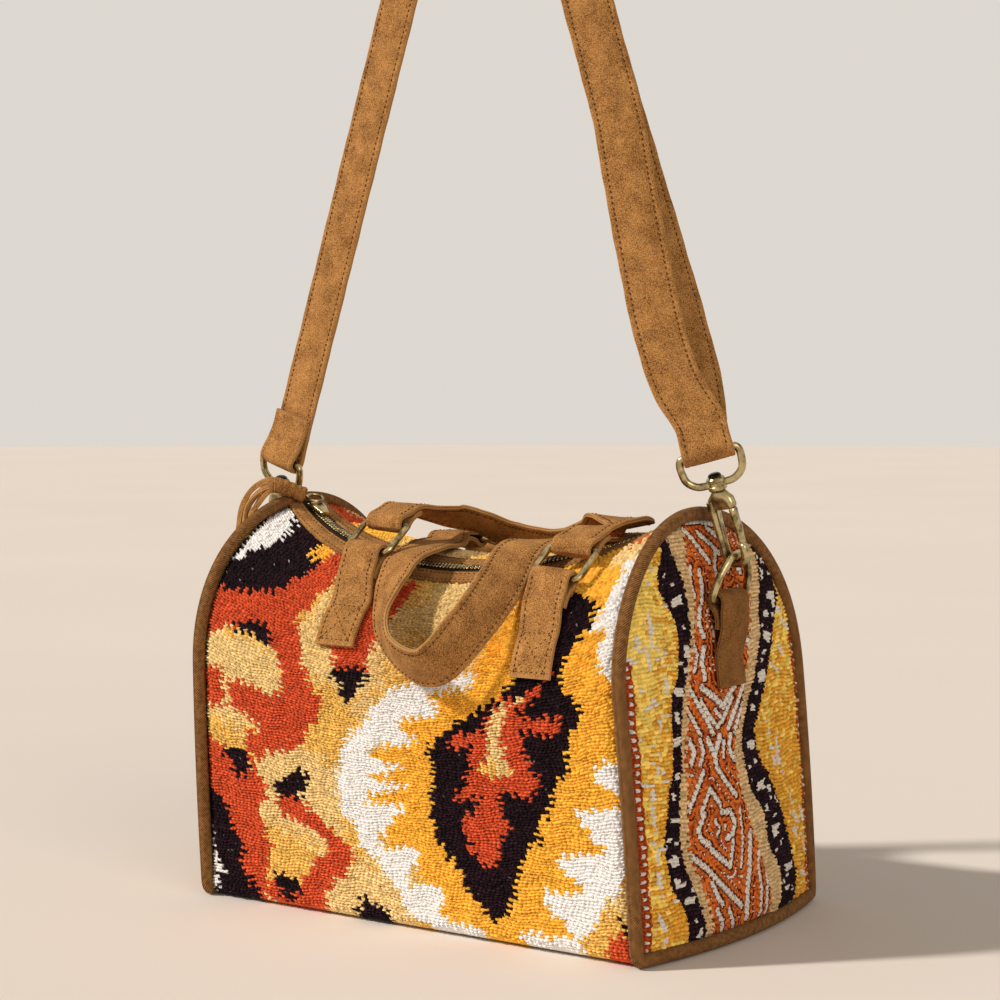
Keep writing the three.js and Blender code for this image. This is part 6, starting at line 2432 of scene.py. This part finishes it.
    def adjuster(self) -> Piece:
        """Make the strap's three-bar adjuster.

        Returns:
            The new piece.
        """
        bar, run, across, face, length = self.leg(self.SEATS[1])
        centre = bar + run * length * self.adjuster_share + face * self.bend_radius
        half, reach, thick = self.width / 2 + 3, self.adjuster_reach, self.adjuster_wire / 2
        bars = ((-reach, self.adjuster_front), (0, self.adjuster_deep), (reach, self.adjuster_front))
        pieces = []
        for k, (t, n) in enumerate(bars):
            path = [centre + across * a + run * t + face * n for a in np.linspace(-half, half, 12)]
            pieces.append(loft(f"bar_{k}", tube(np.array(path), thick, 16, run)))
        for k, a in enumerate((-half, half)):
            low, middle, high = (centre + across * a + run * t + face * n for t, n in bars)
            path = [*np.linspace(low, middle, 8), *np.linspace(middle, high, 8)[1:]]
            pieces.append(loft(f"side_{k}", tube(np.array(path), thick, 16, across)))
        return join("three_bar_adjuster", *pieces)

    def build(self, finishes: Finishes) -> None:
        """Make all the fittings and the shoulder strap.

        Args:
            finishes: Materials by name.
        """
        cut, sewing = StrapCut(self.width), Stitching()
        suede, brass, thread = finishes[Finish.SUEDE], finishes[Finish.BRASS], finishes[Finish.THREAD]
        for seat in self.SEATS:
            tab = self.tab(seat).strap(f"{seat.name}_suede_end_tab", StrapCut(self.width, pale=0.2))
            # The end tabs take the darker copy of the suede, as painted shade.
            settle(tab, "bag", finishes[Finish.SHADED_SUEDE], [f"{seat.name}_end_tab"])
            hook, rivet = self.hook(seat)
            moving = ((self.d_ring(seat), "d_ring"), (hook, "hook"), (self.gate(seat), "hook_gate"))
            for piece, node in moving:
                settle(piece, f"{seat.name}_{node}", brass, [f"{seat.name}_{node}"])
            node = f"{seat.name}_hook"
            settle(rivet, node, finishes[Finish.RIVET], [node])
            settle(self.loop(seat), "bag", brass, [f"{seat.name}_strap_loop"])
        ribbon = self.strap()
        LOG.info("shoulder strap is %.0f mm long", ribbon.length)
        settle(ribbon.strap("suede_shoulder_strap", cut), "bag", suede, ["shoulder_strap"])
        places = sewing.along(ribbon, cut, 44, ribbon.length - 34)
        half = self.width / 2 - cut.sewn_in
        for way in (1, -1):
            places += sewing.line(ribbon, cut, (self.sewn_fold, -half), (self.sewn_fold, half), way)
        settle(repeat("shoulder_strap_stitches", sewing.pattern(), places), "bag", thread)
        back = self.doubled()
        doubled = settle(back.strap("suede_strap_return", cut), "bag", suede, ["strap_return"])
        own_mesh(doubled)
        places = sewing.along(back, cut, 36, back.length - 3)
        rows = settle(repeat("strap_return_stitches", sewing.pattern(), places), "bag", thread)
        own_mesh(rows)
        settle(self.adjuster(), "strap_adjuster", brass, ["strap_adjuster"])


@dataclass(frozen=True)
class Studio:
    """Camera at the photograph's angle, pale floor and soft light."""

    azimuth: float = 35.1
    elevation: float = 3.2
    distance: float = 1.44
    focal_pixels: float = 2300.0
    image_pixels: float = 1000.0
    aim_right: float = -0.005
    aim_height: float = 0.2516
    sky_light: float = 0.34
    sky_seen: float = 0.8

    def camera(self) -> None:
        """Place the camera."""
        a, e = math.radians(self.azimuth), math.radians(self.elevation)
        back = Vector((math.sin(a) * math.cos(e), -math.cos(a) * math.cos(e), math.sin(e)))
        right = Vector((math.cos(a), math.sin(a), 0))
        up = back.cross(right)
        spot = right * self.aim_right + Vector((0, 0, self.aim_height)) + back * self.distance
        data = bpy.data.cameras.new("camera")
        data.sensor_width = 36.0
        data.lens = self.focal_pixels / self.image_pixels * data.sensor_width
        data.clip_start, data.clip_end = 0.05, 50.0
        camera = bpy.data.objects.new("camera", data)
        bpy.context.scene.collection.objects.link(camera)
        camera.matrix_world = Matrix((right, up, back)).transposed().to_4x4()
        camera.location = spot
        bpy.context.scene.camera = camera

    def floor(self) -> None:
        """Lay a wide pale floor."""
        bpy.ops.object.select_all(action="DESELECT")
        spot = (0, 0, -0.0002)
        bpy.ops.mesh.primitive_circle_add(vertices=96, radius=9.0, fill_type="NGON", location=spot)
        floor = bpy.context.object
        floor.name = "pale_floor"
        shader = Shader("Matt floor paint")
        paint = shader.blend(shader.noise(0.5, 2.0), "DDD3C9", "E3DAD1")
        floor.data.materials.append(shader.surface({"Base Color": paint, "Roughness": 0.9}))

    def lamp(self, name: str, way: tuple[float, float, float], spread: float, power: float,
             colour: str) -> None:
        """Hang a far lamp that shines one way, and looks as wide as an angle in degrees.

        Args:
            name: Its name.
            way: Direction of its light.
            spread: The angle.
            power: Its strength.
            colour: Six hex digits.
        """
        data = bpy.data.lights.new(name, "SUN")
        data.energy = power
        data.angle = math.radians(spread)
        data.color = linear(colour)[:3]
        lamp = bpy.data.objects.new(name, data)
        bpy.context.scene.collection.objects.link(lamp)
        lamp.rotation_mode = "QUATERNION"
        lamp.rotation_quaternion = Vector(way).to_track_quat("-Z", "Y")

    def light(self) -> None:
        """Light the bag softly, brightest from the front left as in the photograph."""
        self.lamp("key", (0.9, 1.0, -1.05), 4.0, 3.15, "FFF8F0")
        self.lamp("fill", (-2.2, 1.2, -1.0), 37.0, 0.95, "FFF4E6")
        world = bpy.data.worlds.new("soft_sky")
        bpy.context.scene.world = world
        world.use_nodes = True
        tree = world.node_tree
        rays = add_node(tree, "LightPath", {}).outputs
        seen = rays["Is Camera Ray"]
        for kind in ("Is Glossy Ray", "Is Transmission Ray"):
            seen = add_node(tree, "Math", {0: seen, 1: rays[kind]}, operation="MAXIMUM").outputs[0]
        levels = {"Value": seen, "To Min": self.sky_light, "To Max": self.sky_seen}
        strength = add_node(tree, "MapRange", levels)
        lead(tree, tree.nodes["Background"], {"Color": linear("F4EEE6"), "Strength": strength.outputs[0]})


def main() -> None:
    """Build the bag and its studio."""
    logging.basicConfig(level=logging.INFO, format="%(message)s")
    scene = bpy.context.scene
    scene.view_settings.view_transform = "Standard"
    studio = Studio()
    studio.camera()
    finishes = {finish: finish.value.material() for finish in Finish}
    cloth = BodyCloth(SHAPE)
    for side in Side:
        panel = cloth.panel(side, WovenPanel(f"{side.name.lower()}_kilim", 3, 2, 1.4, 0.75, 0.56))
        settle(panel, "bag", finishes[Finish.KILIM], ["body_panel"])
    base = cloth.base(WovenPanel("base_kilim", 2, 2, 0.6, 0.75))
    settle(base, "bag", finishes[Finish.KILIM], ["body_panel"])
    for end in End:
        name = end.name.lower()
        panel = EndCloth(SHAPE, end).build(WovenPanel(f"{name}_striped_end", 5, 3, 1.4, 0.6, 0.62))
        settle(panel, "bag", finishes[Finish.STRIPED], [f"{name}_end_panel"])
    Trim(SHAPE).build(finishes)
    Handles(SHAPE).build(finishes)
    EndFittings(SHAPE).build(finishes)
    for node, finish in (("lining", Finish.LINING), ("base_board", Finish.BOARD)):
        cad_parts[node].data.materials.clear()
        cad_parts[node].data.materials.append(finishes[finish])
    studio.floor()
    studio.light()


if __name__ == "__main__":
    main()
